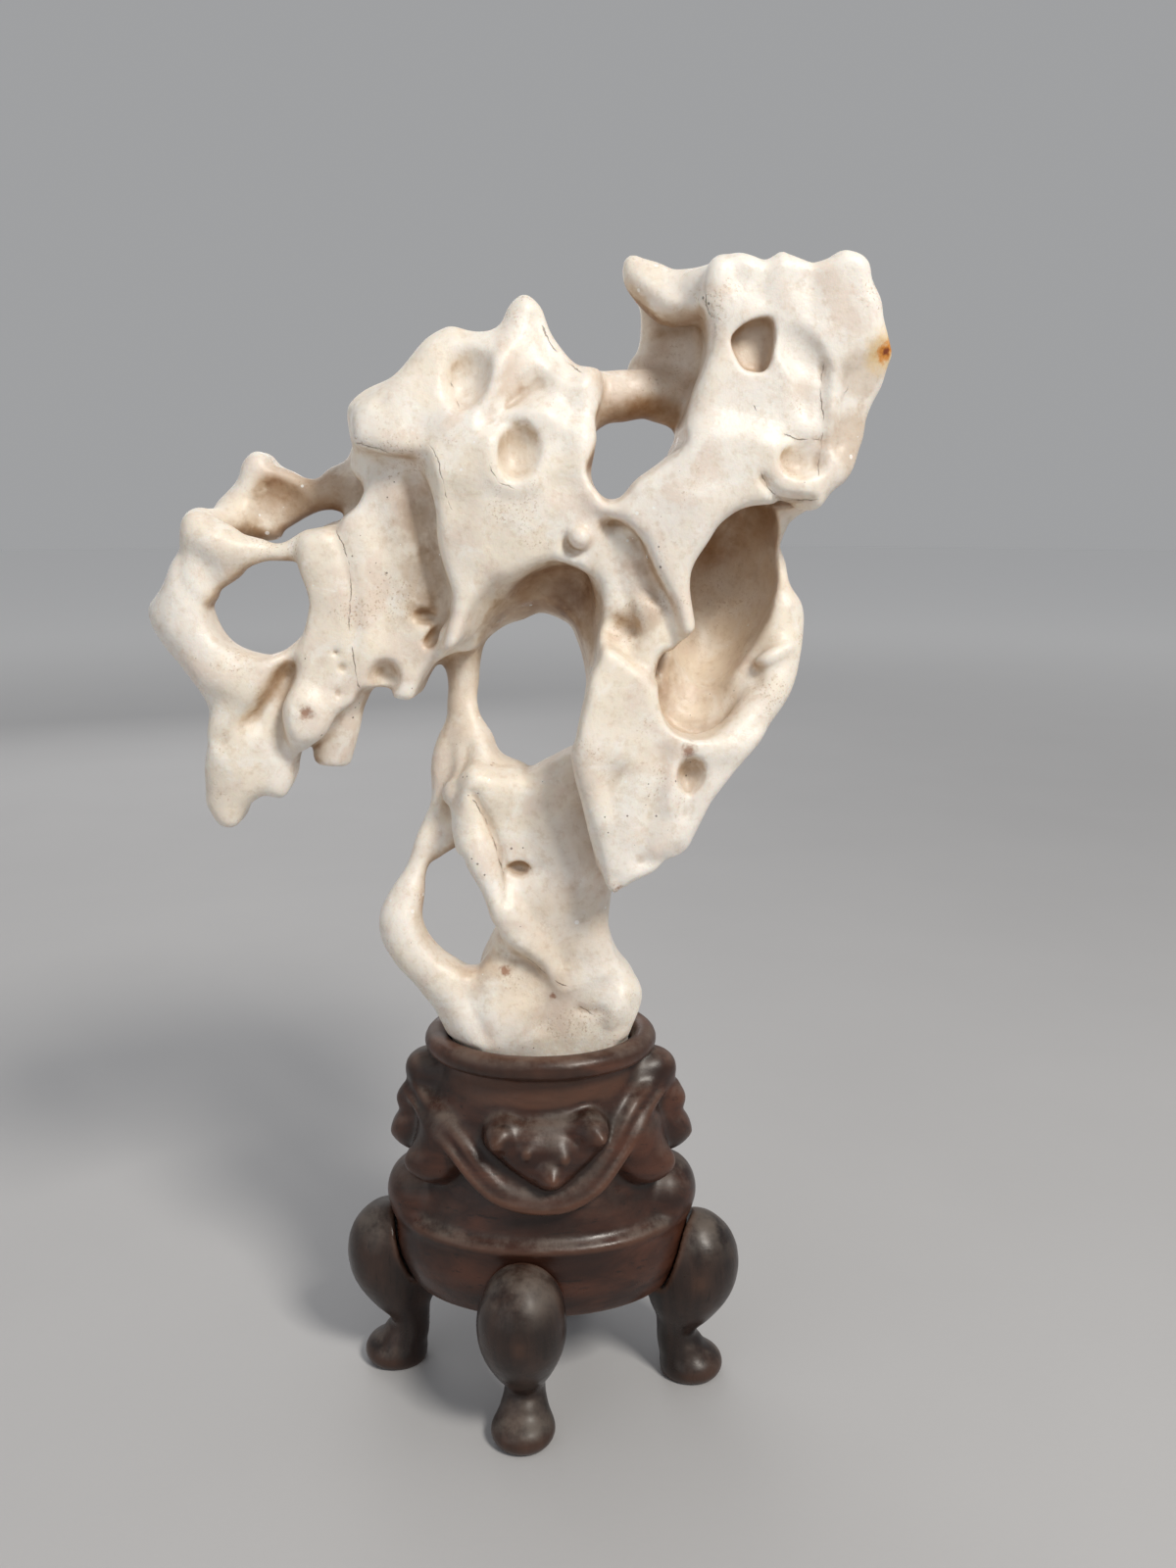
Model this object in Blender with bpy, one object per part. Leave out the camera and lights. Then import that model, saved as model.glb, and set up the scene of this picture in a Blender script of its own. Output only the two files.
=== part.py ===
"""A scholar's rock: a pierced white stone standing in a carved hardwood stand on four legs.

The stone and each piece of the stand are sculpted as a field of distances on a grid:
masses are blended in, hollows are carved out, and the surface where the distance is
zero becomes the piece's mesh. Lengths in the sculpture are millimetres from the
stand's axis at floor level: x to the right, y to the back, z up.
"""

import math

import bmesh
import bpy
import numpy as np
import openvdb

MM = 0.001

# ---------------------------------------------------------------- dimensions
STONE_STEP = 2.0  # mm between the samples of the stone's field
STONE_LOW = (-144.0, -56.0, 118.0)
STONE_HIGH = (128.0, 52.0, 428.0)
STONE_TRIANGLES = 5600
STONE_FOOT = 124.6  # height of the flat the stone stands on
SOCKET_LOW = (-60.0, -50.0, 118.0)  # the part of the stone's grid that the stand reaches
SOCKET_HIGH = (60.0, 50.0, 150.0)

STAND_STEP = 1.6
STAND_LOW = (-86.0, -72.0, -6.0)
STAND_HIGH = (86.0, 72.0, 152.0)
BODY_TRIANGLES = 2500
LEG_TRIANGLES = 450
OVAL = 0.67  # the stand's depth as a share of its width
RIM_OVAL = 0.77  # the same for its rim
RIM_HALF_WIDTH = 39.3  # to the middle of the rolled rim
RIM_HEIGHT = 140.6
RIM_RADIUS = 4.6
SOCKET_HALF_WIDTH = 34.5
SOCKET_FLOOR = 123.8
DRUM_BOTTOM = 42.5  # underside of the stand's body, which the legs are glued to
GAP = 0.8  # mm between neighbouring pieces

SCORED = (-60.0, 0.0)  # grooves are pressed into what lies between these y
FAR = 50.0  # mm, a field's value where nothing is near

# the stand's axis stands beside the origin, so that the whole object is centred on it
ORIGIN = (-9.0, 0.0, 0.0)

# colour and roughness of each finish
MARBLE = ((0.78, 0.71, 0.62), 0.45)
HARDWOOD = ((0.12, 0.06, 0.04), 0.35)
LEG_WOOD = ((0.13, 0.08, 0.06), 0.45)


# ---------------------------------------------------------------- the clay
def smooth_path(points, steps=4, closed=False):
    """Points along a Catmull-Rom curve through the given points, all columns alike."""
    p = np.asarray(points, float)
    if closed:
        p = np.vstack([p[-1], p, p[0], p[1]])
    else:
        p = np.vstack([2 * p[0] - p[1], p, 2 * p[-1] - p[-2]])
    t = np.linspace(0, 1, steps, endpoint=False)[:, None]
    spans = [
        0.5 * (2 * b + (c - a) * t + (2 * a - 5 * b + 4 * c - d) * t**2 + (3 * b - a - 3 * c + d) * t**3)
        for a, b, c, d in zip(p, p[1:], p[2:], p[3:])
    ]
    return np.vstack(spans if closed else spans + [p[-2]])


def turn_matrix(turn):
    """Rotation by degrees about x, then y, then z."""
    ax, ay, az = np.radians(turn)
    rx = np.array([[1, 0, 0], [0, math.cos(ax), -math.sin(ax)], [0, math.sin(ax), math.cos(ax)]])
    ry = np.array([[math.cos(ay), 0, math.sin(ay)], [0, 1, 0], [-math.sin(ay), 0, math.cos(ay)]])
    rz = np.array([[math.cos(az), -math.sin(az), 0], [math.sin(az), math.cos(az), 0], [0, 0, 1]])
    return rz @ ry @ rx


def outline_distance(outline, x, z):
    """Distance from each (x, z) to a closed outline, negative inside it."""
    nearest = np.full(np.broadcast(x, z).shape, 1e9, np.float32)
    inside = np.zeros(nearest.shape, bool)
    for (ax, az), (bx, bz) in zip(outline, np.roll(outline, -1, axis=0)):
        ex, ez = bx - ax, bz - az
        share = np.clip(((x - ax) * ex + (z - az) * ez) / (ex * ex + ez * ez + 1e-9), 0, 1)
        nearest = np.minimum(nearest, (x - ax - share * ex) ** 2 + (z - az - share * ez) ** 2)
        if az != bz:
            crosses = ((az > z) != (bz > z)) & (x < ex * (z - az) / ez + ax)
            inside ^= crosses
    return np.where(inside, -1, 1) * np.sqrt(nearest)


class Clay:
    """A block of space that masses are added to and hollows are cut from."""

    def __init__(self, low, high, step):
        self.step = step
        self.axes = [np.arange(a, b + step, step, dtype=np.float32) for a, b in zip(low, high)]
        self.field = np.full([len(axis) for axis in self.axes], FAR, np.float32)

    def window(self, low, high):
        """The part of the grid inside a box: its slices, and its x, y and z."""
        cut = tuple(
            slice(max(0, int((lo - axis[0]) / self.step)), max(0, int((hi - axis[0]) / self.step) + 2))
            for axis, lo, hi in zip(self.axes, low, high)
        )
        x, y, z = (axis[c] for axis, c in zip(self.axes, cut))
        return cut, x[:, None, None], y[None, :, None], z[None, None, :]

    def blend(self, cut, distance, soft, carve):
        """Joins a shape to the field, or takes it away, with a fillet of about soft mm."""
        sign = -1 if carve else 1
        old = sign * self.field[cut]
        share = np.maximum(soft - np.abs(old - distance), 0) / soft
        self.field[cut] = sign * (np.minimum(old, distance) - share * share * soft / 4)

    def limb(self, path, soft=4.0, carve=False, steps=4):
        """A round tapering limb through (x, y, z, radius)."""
        points = smooth_path(path, steps)
        reach = points[:, 3].max() + soft + 2 * self.step
        cut, x, y, z = self.window(points[:, :3].min(0) - reach, points[:, :3].max(0) + reach)
        distance = np.full(self.field[cut].shape, FAR, np.float32)
        for a, b in zip(points, points[1:]):
            d = b[:3] - a[:3]
            share = ((x - a[0]) * d[0] + (y - a[1]) * d[1] + (z - a[2]) * d[2]) / (d @ d + 1e-9)
            share = np.clip(share, 0, 1)
            away = np.sqrt(
                (x - a[0] - share * d[0]) ** 2
                + (y - a[1] - share * d[1]) ** 2
                + (z - a[2] - share * d[2]) ** 2
            )
            np.minimum(distance, away - a[3] - share * (b[3] - a[3]), out=distance)
        self.blend(cut, distance, soft, carve)

    def pebble(self, centre, radii, turn=(0, 0, 0), soft=4.0, carve=False):
        """An ellipsoid, turned by degrees about x, y and z."""
        reach = max(radii) + soft + 2 * self.step
        cut, x, y, z = self.window(np.subtract(centre, reach), np.add(centre, reach))
        m = turn_matrix(turn)
        x, y, z = x - centre[0], y - centre[1], z - centre[2]
        local = [m[0, i] * x + m[1, i] * y + m[2, i] * z for i in range(3)]
        scaled = np.sqrt(sum((c / r) ** 2 for c, r in zip(local, radii)))
        slope = np.sqrt(sum((c / r**2) ** 2 for c, r in zip(local, radii)))
        self.blend(cut, scaled * (scaled - 1) / np.maximum(slope, 1e-6), soft, carve)

    def plate(
        self, outline, front, back, edge=6.0, soft=4.0, lean=(0, 0), slant=(0, 0), flare=(0, 0), carve=False
    ):
        """A slab with the given outline in x and z, from y front to y back, its rim rounded
        by edge mm. Measured from its middle: lean tilts it, in mm of y for each mm of x and z;
        slant slides the outline in x and z, and flare widens it to front and back, for each mm of y."""
        rim = smooth_path(outline, 3, closed=True)
        middle = (rim.min(0) + rim.max(0)) / 2
        tilt = abs(lean[0]) * np.ptp(rim[:, 0]) / 2 + abs(lean[1]) * np.ptp(rim[:, 1]) / 2
        reach = soft + 2 * self.step + (max(flare) + max(np.abs(slant))) * (back - front) / 2
        low = (rim[:, 0].min() - reach, front - tilt - reach, rim[:, 1].min() - reach)
        high = (rim[:, 0].max() + reach, back + tilt + reach, rim[:, 1].max() + reach)
        cut, x, y, z = self.window(low, high)
        away = y - (front + back) / 2 - lean[0] * (x - middle[0]) - lean[1] * (z - middle[1])
        if slant[0] or slant[1]:
            across = outline_distance(rim, x - slant[0] * away, z - slant[1] * away)
        else:
            across = outline_distance(rim, x[:, 0, :], z[0, :, :])[:, None, :]
        across = across - np.where(away < 0, -flare[0], flare[1]) * away
        edge = min(edge, (back - front) / 2 - 0.01)
        a, b = across + edge, np.abs(away) - (back - front) / 2 + edge
        outside = np.sqrt(np.maximum(a, 0) ** 2 + np.maximum(b, 0) ** 2)
        distance = outside + np.minimum(np.maximum(a, b), 0) - edge
        self.blend(cut, distance, soft, carve)

    def turned(self, profile, soft=2.0, oval=OVAL, within=None, middle=0.0, carve=False):
        """An oval turning: profile is a closed outline of (half width, z). within keeps only
        what lies inside a closed outline of (degrees round the stand from middle, z); the
        stand's front is at 0 and its right at 90."""
        rim = np.asarray(profile, float)
        low, high = [axis[0] for axis in self.axes], [axis[-1] for axis in self.axes]
        low[2], high[2] = rim[:, 1].min() - soft - 3 * self.step, rim[:, 1].max() + soft + 3 * self.step
        cut, x, y, z = self.window(low, high)
        distance = outline_distance(rim, np.sqrt(x * x + (y / oval) ** 2), z)
        if within is not None:
            angle = np.degrees(np.arctan2(x, -y / oval)) - middle
            arc = (angle + 180) % 360 - 180
            edge = outline_distance(smooth_path(within, 3, closed=True) * (0.85, 1), arc * 0.85, z)
            distance = np.maximum(distance, edge)
        self.blend(cut, distance, soft, carve)

    def keep_clear(self, other, gap):
        """Cuts this field back to gap mm from another, whose grid lies on this one's."""
        lows = [(float(theirs[0] - ours[0]), len(theirs)) for theirs, ours in zip(other.axes, self.axes)]
        cut = tuple(slice(round(low / self.step), round(low / self.step) + n) for low, n in lows)
        self.field[cut] = np.maximum(self.field[cut], gap - other.field)

    def scoop(self, point, facing, radius, soft=3.0):
        """Grinds a slightly hollow facet: takes a ball away that touches the point from outside."""
        facing = np.asarray(facing, float) / np.linalg.norm(facing)
        self.pebble(np.add(point, facing * radius), (radius,) * 3, soft=soft, carve=True)

    def shave(self, point, facing, reach=20.0, soft=3.0):
        """Cuts a flat facet: takes away what lies beyond a plane, within reach mm of the point."""
        facing = np.asarray(facing, float) / np.linalg.norm(facing)
        cut, x, y, z = self.window(np.subtract(point, reach + soft), np.add(point, reach + soft))
        x, y, z = x - point[0], y - point[1], z - point[2]
        under = -(x * facing[0] + y * facing[1] + z * facing[2])
        ball = np.sqrt(x * x + y * y + z * z) - reach
        self.blend(cut, np.maximum(under, ball), soft, True)

    def score(self, path, width, depth, sharp=1.0):
        """A groove along a path of (x, z), pressed depth mm into the front surface and width mm
        wide on each side; a negative depth raises a ridge."""
        front, back = SCORED
        points = smooth_path(path, 3)
        low = (points[:, 0].min() - width, front, points[:, 1].min() - width)
        high = (points[:, 0].max() + width, back, points[:, 1].max() + width)
        cut, x, y, z = self.window(low, high)
        x, z = x[:, 0, :], z[0, :, :]
        nearest = np.full(np.broadcast(x, z).shape, 1e9, np.float32)
        for (ax, az), (bx, bz) in zip(points, points[1:]):
            ex, ez = bx - ax, bz - az
            share = np.clip(((x - ax) * ex + (z - az) * ez) / (ex * ex + ez * ez + 1e-9), 0, 1)
            nearest = np.minimum(nearest, (x - ax - share * ex) ** 2 + (z - az - share * ez) ** 2)
        amount = depth * np.maximum(1 - np.sqrt(nearest) / width, 0) ** sharp
        inside = np.clip((back - y) / 4, 0, 1) * np.clip((y - front) / 4, 0, 1)
        self.field[cut] += amount[:, None, :] * inside

    def soften(self, rounds):
        """Averages the field with its neighbours, which rounds every edge a little."""
        for _ in range(rounds):
            for axis in range(3):
                inner = np.roll(self.field, 1, axis) + np.roll(self.field, -1, axis)
                self.field = 0.5 * self.field + 0.25 * inner

    def weather(self, wavelength, depth, seed):
        """Makes the surface uneven: swells and dips of the given size, the same each time."""
        dice = np.random.default_rng(seed)
        low = [axis[0] for axis in self.axes]
        places = [(axis - lo) / wavelength for axis, lo in zip(self.axes, low)]
        knots = dice.standard_normal([int(p[-1]) + 3 for p in places]).astype(np.float32)
        for axis, place in enumerate(places):
            whole = place.astype(int)
            share = place - whole
            share = (share * share * (3 - 2 * share)).astype(np.float32)
            shape = [1, 1, 1]
            shape[axis] = -1
            share = share.reshape(shape)
            knots = np.take(knots, whole, axis) * (1 - share) + np.take(knots, whole + 1, axis) * share
        self.field += depth * knots

    def mesh(self, name):
        """The field's surface as a mesh in metres, about the object's origin."""
        grid = openvdb.FloatGrid(FAR)
        grid.copyFromArray(np.clip(self.field, -3 * self.step, 3 * self.step))
        points, _, quads = grid.convertToPolygons()
        low = np.array([axis[0] for axis in self.axes])
        points = (points * self.step + low - ORIGIN) * MM
        mesh = bpy.data.meshes.new(name)
        mesh.from_pydata(points.tolist(), [], quads.tolist())
        mesh.validate()
        bm = bmesh.new()
        bm.from_mesh(mesh)
        bmesh.ops.recalc_face_normals(bm, faces=bm.faces)
        bm.to_mesh(mesh)
        bm.free()
        return mesh


# ---------------------------------------------------------------- the stone
def add_column(clay):
    """The foot in the stand's socket, the column above it and the ridge that twists up it."""
    clay.plate(
        [(-11, 118), (-16, 138), (-23, 150), (-23, 164), (-21, 173), (-14, 188), (-16, 195), (-18,
         203), (-21, 211), (-24, 220), (-28, 228), (-30, 235), (-29, 243), (-25, 248), (-18, 248),
         (-9, 246), (-2, 245), (5, 248), (15, 253), (29, 250), (31, 228), (26, 208), (25, 195),
         (26, 184), (29, 175), (34, 166), (37, 160), (36, 150), (34, 141), (34, 118)],
        front=-18, back=17, edge=7, lean=(0.05, 0.0))
    clay.limb([(-27, -8, 236, 7), (-24, -12, 228, 6.5), (-22, -16, 221, 6), (-20, -18, 212, 5.5),
               (-16, -19, 205, 5.5), (-13, -19, 198, 6), (-8, -18, 190, 6), (-1, -16, 181, 6), (6,
               -14, 172, 6)], soft=3)
    clay.pebble((28, -7, 159), (9, 11, 9.5), soft=4)
    clay.pebble((-13, -10, 150), (15, 12, 17), soft=6)
    clay.pebble((11, -8, 215), (16, 10, 30), (0, 14, 0), soft=8)
    clay.scoop((21, -21, 154), (0.1, -1, -0.2), 30, soft=1.5)
    clay.scoop((35, -13, 157), (0.85, -0.5, 0.1), 18, soft=1.5)
    clay.scoop((28, -18, 174), (0.5, -0.8, 0.4), 22, soft=2)


def add_handle(clay):
    """The slender limb that leaves the foot, bends at an elbow and climbs to the pillar beside the cave."""
    clay.limb([(-28, 10, 294, 9.5), (-27, 9, 284, 7), (-27, 7, 274, 5.5), (-27, 6, 267, 6), (-25,
               4, 260, 7), (-23, 2, 253, 9), (-19, 1, 244, 13)])
    clay.limb([(-27, 5, 262, 4), (-31, 4, 253, 5.5), (-33, 3, 244, 6), (-34, 2, 236, 5), (-36, 1,
               230, 4), (-40, 0, 222, 3.5), (-43, -2, 214, 3.5), (-45, -4, 207, 4.5), (-49, -7,
               196, 6), (-50, -9, 188, 8), (-46, -10, 179, 8.5), (-39, -10, 171, 9), (-30, -9,
               162, 11), (-20, -7, 150, 15)], soft=3)
    clay.limb([(-23, 5, 238, 9), (-29, 4, 228, 8), (-33, 2, 220, 6.5), (-38, 0, 214, 4)])


def add_right_body(clay):
    """The right half: the sheet behind the big bowl, and the boulder below it."""
    clay.plate(
        [(10, 317), (12, 289), (15, 267), (21, 240), (28, 215), (40, 212), (52, 218), (59, 229),
         (69, 243), (81, 260), (84, 271), (89, 283), (93, 290), (93, 300), (91, 306), (86, 311),
         (83, 319), (84, 324), (87, 332), (95, 341), (68, 352), (45, 346), (22, 330)],
        front=-16, back=26, edge=9)
    clay.plate(
        [(22, 293), (20, 287), (17, 279), (16, 271), (15, 262), (17, 251), (19, 242), (21, 232),
         (22, 222), (23, 214), (25, 209), (28, 207), (33, 211), (40, 215), (45, 219), (51, 222),
         (55, 228), (58, 233), (62, 240), (68, 247), (74, 256), (77, 263), (71, 261), (58, 259),
         (48, 262), (42, 271), (40, 281), (33, 287), (27, 292)],
        front=-36, back=6, edge=4, lean=(0.12, -0.02))
    clay.limb([(24, -28, 294, 3), (21, -31, 291, 3.5), (18, -33, 283, 4), (17, -34, 272, 4), (17,
               -35, 259, 4), (19, -34, 245, 4), (22, -32, 230, 4), (25, -28, 217, 3.5)], soft=5)
    clay.limb([(40, -28, 281, 4.5), (43, -31, 271, 5.5), (49, -31, 263, 6.5), (59, -28, 259, 7),
               (69, -25, 262, 7), (77, -21, 270, 6.5), (82, -17, 278, 7), (85, -14, 288, 7), (85,
               -11, 298, 7.5), (83, -8, 307, 6), (81, -3, 317, 6)], soft=5)
    clay.scoop((88, -18, 298), (0.45, -0.85, 0.15), 25, soft=2)


def add_head(clay):
    """The block at the top right, with the diagonal limb below it that ends in a fang."""
    clay.plate(
        [(55, 402), (56, 411), (59, 415), (62, 416), (66, 416), (73, 415), (77, 416), (79, 417),
         (81, 416), (87, 415), (93, 415), (96, 416), (99, 417), (104, 416), (107, 413), (108,
         408), (111, 402), (112, 397), (113, 393), (114, 390), (116, 386), (115, 383), (114, 380),
         (113, 375), (111, 370), (109, 365), (108, 360), (106, 355), (104, 350), (101, 346), (96,
         343), (91, 340), (84, 340), (71, 341), (57, 338), (45, 342), (47, 357), (50, 364), (53,
         373), (55, 380), (57, 386), (57, 395)],
        front=-34, back=24, edge=5)
    clay.plate(
        [(23, 338), (29, 341), (33, 346), (38, 349), (44, 353), (48, 358), (59, 362), (74, 360),
         (87, 351), (92, 339), (84, 340), (79, 340), (75, 339), (68, 337), (61, 333), (57, 328),
         (53, 322), (51, 317), (51, 311), (52, 305), (53, 299), (53, 295), (49, 295), (47, 304),
         (43, 312), (39, 320), (35, 327), (31, 332), (25, 334)],
        front=-37, back=-17, edge=4, soft=8)
    clay.plate(
        [(14, 328), (18, 319), (21, 312), (22, 301), (22, 291), (29, 285), (40, 278), (42, 282),
         (47, 290), (51, 294), (49, 307), (42, 321), (33, 331), (22, 333)],
        front=-30, back=12, edge=6)
    clay.plate(
        [(33, 410), (35, 406), (36, 400), (36, 395), (35, 390), (32, 386), (32, 381), (37, 375),
         (45, 366), (50, 359), (58, 375), (63, 393), (61, 407), (49, 414)],
        front=2, back=24, edge=6)
    clay.plate(
        [(31, 399), (41, 398), (49, 399), (54, 402), (57, 396), (58, 389), (56, 380), (53, 373),
         (49, 362), (46, 357), (41, 357), (32, 363), (23, 368), (21, 383), (29, 392)],
        front=-60, back=3, edge=5, soft=1.0, carve=True)
    clay.limb([(33, -5, 416, 2.5), (35, -5, 413, 4.5), (39, -5, 410, 6.5), (45, -6, 406, 8), (52,
               -8, 406, 8), (58, -13, 407, 7.5)], soft=3)
    clay.limb([(12, -6, 369, 9), (22, -4, 373, 7), (29, -3, 374, 7), (38, 0, 375, 7), (45, 6, 374,
               9), (52, 12, 374, 11)])


def add_hat(clay):
    """The middle mass: a plate with a peak, lobes and a long overhanging left edge."""
    clay.plate(
        [(-61, 370), (-59, 373), (-55, 376), (-46, 380), (-38, 387), (-33, 392), (-28, 395), (-26,
         395), (-23, 394), (-18, 393), (-13, 394), (-10, 397), (-8, 401), (-5, 404), (-2, 405),
         (1, 403), (4, 399), (6, 392), (10, 386), (14, 382), (17, 380), (20, 379), (18, 373), (17,
         366), (18, 359), (18, 350), (19, 345), (22, 341), (29, 336), (31, 320), (27, 300), (5,
         294), (-12, 292), (-25, 290), (-32, 300), (-31, 330), (-35, 350), (-40, 353), (-51, 356),
         (-58, 358), (-60, 362), (-61, 367)],
        front=-22, back=18, edge=5)
    clay.plate(
        [(-59, 363), (-58, 369), (-52, 374), (-44, 379), (-35, 389), (-30, 392), (-25, 393), (-21,
         392), (-14, 392), (-9, 395), (-7, 400), (-3, 403), (1, 401), (3, 395), (7, 387), (12,
         380), (19, 379), (18, 368), (17, 354), (8, 346), (-12, 346), (-29, 346), (-33, 354),
         (-42, 355), (-52, 356), (-58, 358)],
        front=-28, back=-8, edge=5, lean=(0.0, 0.24), soft=5)
    clay.plate(
        [(-33, 358), (-28, 368), (-18, 370), (0, 371), (15, 364), (18, 355), (18, 349), (19, 345),
         (22, 341), (25, 338), (23, 333), (20, 324), (18, 317), (12, 318), (6, 319), (0, 317),
         (-5, 313), (-9, 309), (-12, 305), (-16, 300), (-21, 295), (-26, 291), (-30, 290), (-31,
         291), (-29, 299), (-27, 307), (-28, 314), (-29, 322), (-30, 330), (-31, 337), (-31, 347)],
        front=-33, back=-6, edge=5, soft=6)
    clay.pebble((-15, -23, 339), (22, 12, 26), (0, -20, 0), soft=8)
    clay.limb([(-4, -15, 398, 3.5), (-5, -20, 392, 4), (-8, -24, 386, 4), (-12, -27, 380, 3.5),
               (-14, -28, 375, 3), (-17, -27, 370, 3)], soft=3)
    clay.limb([(18, -19, 376, 2.5), (18, -23, 371, 3), (17, -27, 363, 3), (18, -30, 353, 3.5),
               (22, -30, 342, 4.5)], soft=5)


def add_left_panel(clay):
    """The thin panel set back to the left of the middle mass, with its notch and tooth."""
    clay.plate(
        [(-70, 331), (-64, 333), (-60, 337), (-57, 342), (-53, 348), (-46, 350), (-38, 350), (-28,
         345), (-22, 329), (-22, 304), (-29, 290), (-35, 285), (-40, 278), (-42, 274), (-44, 272),
         (-50, 273), (-50, 275), (-53, 276), (-56, 276), (-60, 276), (-62, 274), (-64, 271), (-69,
         270), (-77, 274), (-79, 288), (-80, 309), (-79, 324), (-75, 329)],
        front=-21, back=8, edge=3)


def add_ring(clay):
    """The loop at the far left with its knobs, and the fingers that hang below."""
    clay.limb([(-113, -15, 328, 7), (-108, -15, 325, 8), (-101, -16, 323, 5.5), (-92, -15, 323,
               3), (-85, -15, 323, 3.5), (-78, -14, 325, 5), (-71, -14, 326, 6)], soft=3)
    clay.limb([(-115, -14, 332, 4), (-114, -14, 324, 6.5), (-117, -13, 315, 9), (-119, -12, 306,
               10.5), (-120, -12, 298, 11), (-115, -12, 289, 11), (-108, -12, 282, 12), (-100,
               -11, 278, 12.5)], soft=3)
    clay.limb([(-119, -12, 306, 9), (-124, -11, 303, 8.5), (-129, -10, 303, 5.5)], soft=4)
    clay.limb([(-110, -18, 327, 4.5), (-115, -16, 332, 3.5)], soft=2)
    clay.pebble((-107, -14, 317), (7, 5, 7), soft=4)
    clay.plate(
        [(-78, 326), (-73, 331), (-68, 331), (-59, 334), (-54, 324), (-55, 302), (-57, 288), (-61,
         279), (-68, 270), (-74, 262), (-83, 256), (-87, 262), (-88, 272), (-84, 282), (-79, 293),
         (-73, 302), (-73, 312), (-77, 319)],
        front=-22, back=2, edge=4, soft=6, lean=(0.06, 0.0))
    clay.pebble((-80, -22, 268), (8.5, 6.5, 10), (0, -12, 0), soft=5)
    clay.scoop((-77, -27, 268), (0.1, -1, -0.2), 26, soft=1)
    clay.plate(
        [(-117, 285), (-116, 277), (-115, 269), (-114, 261), (-115, 253), (-116, 244), (-117,
         236), (-115, 231), (-112, 227), (-108, 227), (-106, 230), (-104, 234), (-101, 237), (-96,
         239), (-91, 238), (-89, 240), (-87, 244), (-86, 250), (-84, 254), (-80, 257), (-73, 270),
         (-72, 285), (-81, 293), (-92, 286), (-102, 288), (-108, 293)],
        front=-19, back=2, edge=5)
    clay.limb([(-104, -15, 259, 8), (-107, -15, 250, 8), (-108, -12, 241, 6)], soft=5)
    clay.limb([(-90, -18, 287, 4), (-99, -19, 275, 4.5), (-108, -18, 265, 4), (-111, -18, 261,
               2.5)], soft=5)
    clay.limb([(-65, -6, 282, 7), (-69, -4, 270, 7), (-71, -3, 260, 7), (-74, -2, 250, 7)])
    clay.shave((-73, -2, 246), (-0.12, 0, -1), reach=10, soft=1)
    clay.plate(
        [(-99, 357), (-95, 356), (-92, 352), (-87, 350), (-83, 348), (-77, 347), (-72, 348), (-68,
         350), (-66, 352), (-64, 360), (-54, 358), (-54, 339), (-67, 333), (-70, 335), (-73, 335),
         (-77, 335), (-83, 333), (-89, 329), (-92, 326), (-99, 325), (-107, 326), (-114, 331),
         (-114, 335), (-111, 340), (-107, 345), (-105, 348), (-104, 352), (-102, 355)],
        front=3, back=23, edge=6)
    clay.limb([(-70, 10, 345, 7), (-55, 8, 350, 7.5), (-40, 4, 354, 8.5)])
    clay.limb([(-104, 9, 334, 7.5), (-109, 0, 331, 6), (-114, -10, 331, 5.5)])


def carve_cave(clay):
    """The cave in the middle: a vault that opens to the front and narrows to the hole behind."""
    hole = [(0, 299), (4, 298), (9, 295), (13, 289), (15, 284), (16, 279), (16, 275), (13, 268),
            (11, 262), (7, 256), (2, 250), (0, 247), (-3, 244), (-5, 246), (-10, 248), (-14, 251),
            (-16, 255), (-18, 261), (-20, 266), (-20, 275), (-20, 281), (-18, 287), (-15, 291),
            (-10, 295), (-5, 297)]
    clay.plate(hole, front=-54, back=66, edge=3, soft=4, flare=(0.03, 0.35), carve=True)
    clay.plate(hole, front=-54, back=66, edge=3, soft=4, slant=(0.0, -0.36), flare=(0.12, -0.4), carve=True)
    clay.plate(
        [(-26, 291), (-20, 296), (-12, 304), (-6, 311), (0, 316), (6, 318), (13, 318), (17, 316),
         (19, 310), (20, 302), (20, 291), (19, 287), (17, 279), (15, 269), (14, 260), (6, 255),
         (-13, 256), (-26, 262), (-31, 272), (-31, 287)],
        front=-60, back=-10, edge=8, soft=2.5, carve=True)


def carve_holes(clay):
    """The other holes that go right through."""
    clay.plate(
        [(48, 359), (46, 363), (41, 365), (36, 366), (30, 364), (25, 360), (22, 355), (20, 350),
         (21, 346), (23, 343), (25, 341), (28, 343), (32, 347), (37, 351), (44, 355)],
        front=-60, back=60, edge=2, soft=3, flare=(0.05, 0.3), carve=True)
    clay.plate(
        [(-110, 304), (-107, 308), (-103, 312), (-98, 315), (-91, 317), (-84, 317), (-81, 315),
         (-79, 311), (-78, 305), (-80, 298), (-83, 294), (-87, 290), (-94, 288), (-101, 290),
         (-106, 293), (-109, 297), (-110, 301)],
        front=-51, back=33, edge=2, soft=2, flare=(0.14, 0.4), carve=True)
    clay.plate(
        [(-26, 217), (-30, 216), (-35, 212), (-40, 207), (-42, 202), (-43, 196), (-43, 190), (-41,
         184), (-36, 178), (-31, 175), (-27, 172), (-25, 174), (-22, 180), (-17, 187), (-15, 189),
         (-17, 193), (-18, 199), (-21, 206), (-24, 212)],
        front=-40, back=32, edge=2, soft=3, flare=(0.04, 0.1), carve=True)
    clay.plate(
        [(-89, 328), (-86, 330), (-81, 332), (-74, 335), (-71, 335), (-68, 334), (-70, 333), (-75,
         332), (-79, 332), (-83, 330), (-87, 328)],
        front=-40, back=48, edge=1, soft=3, flare=(0.1, 0.25), carve=True)


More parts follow.
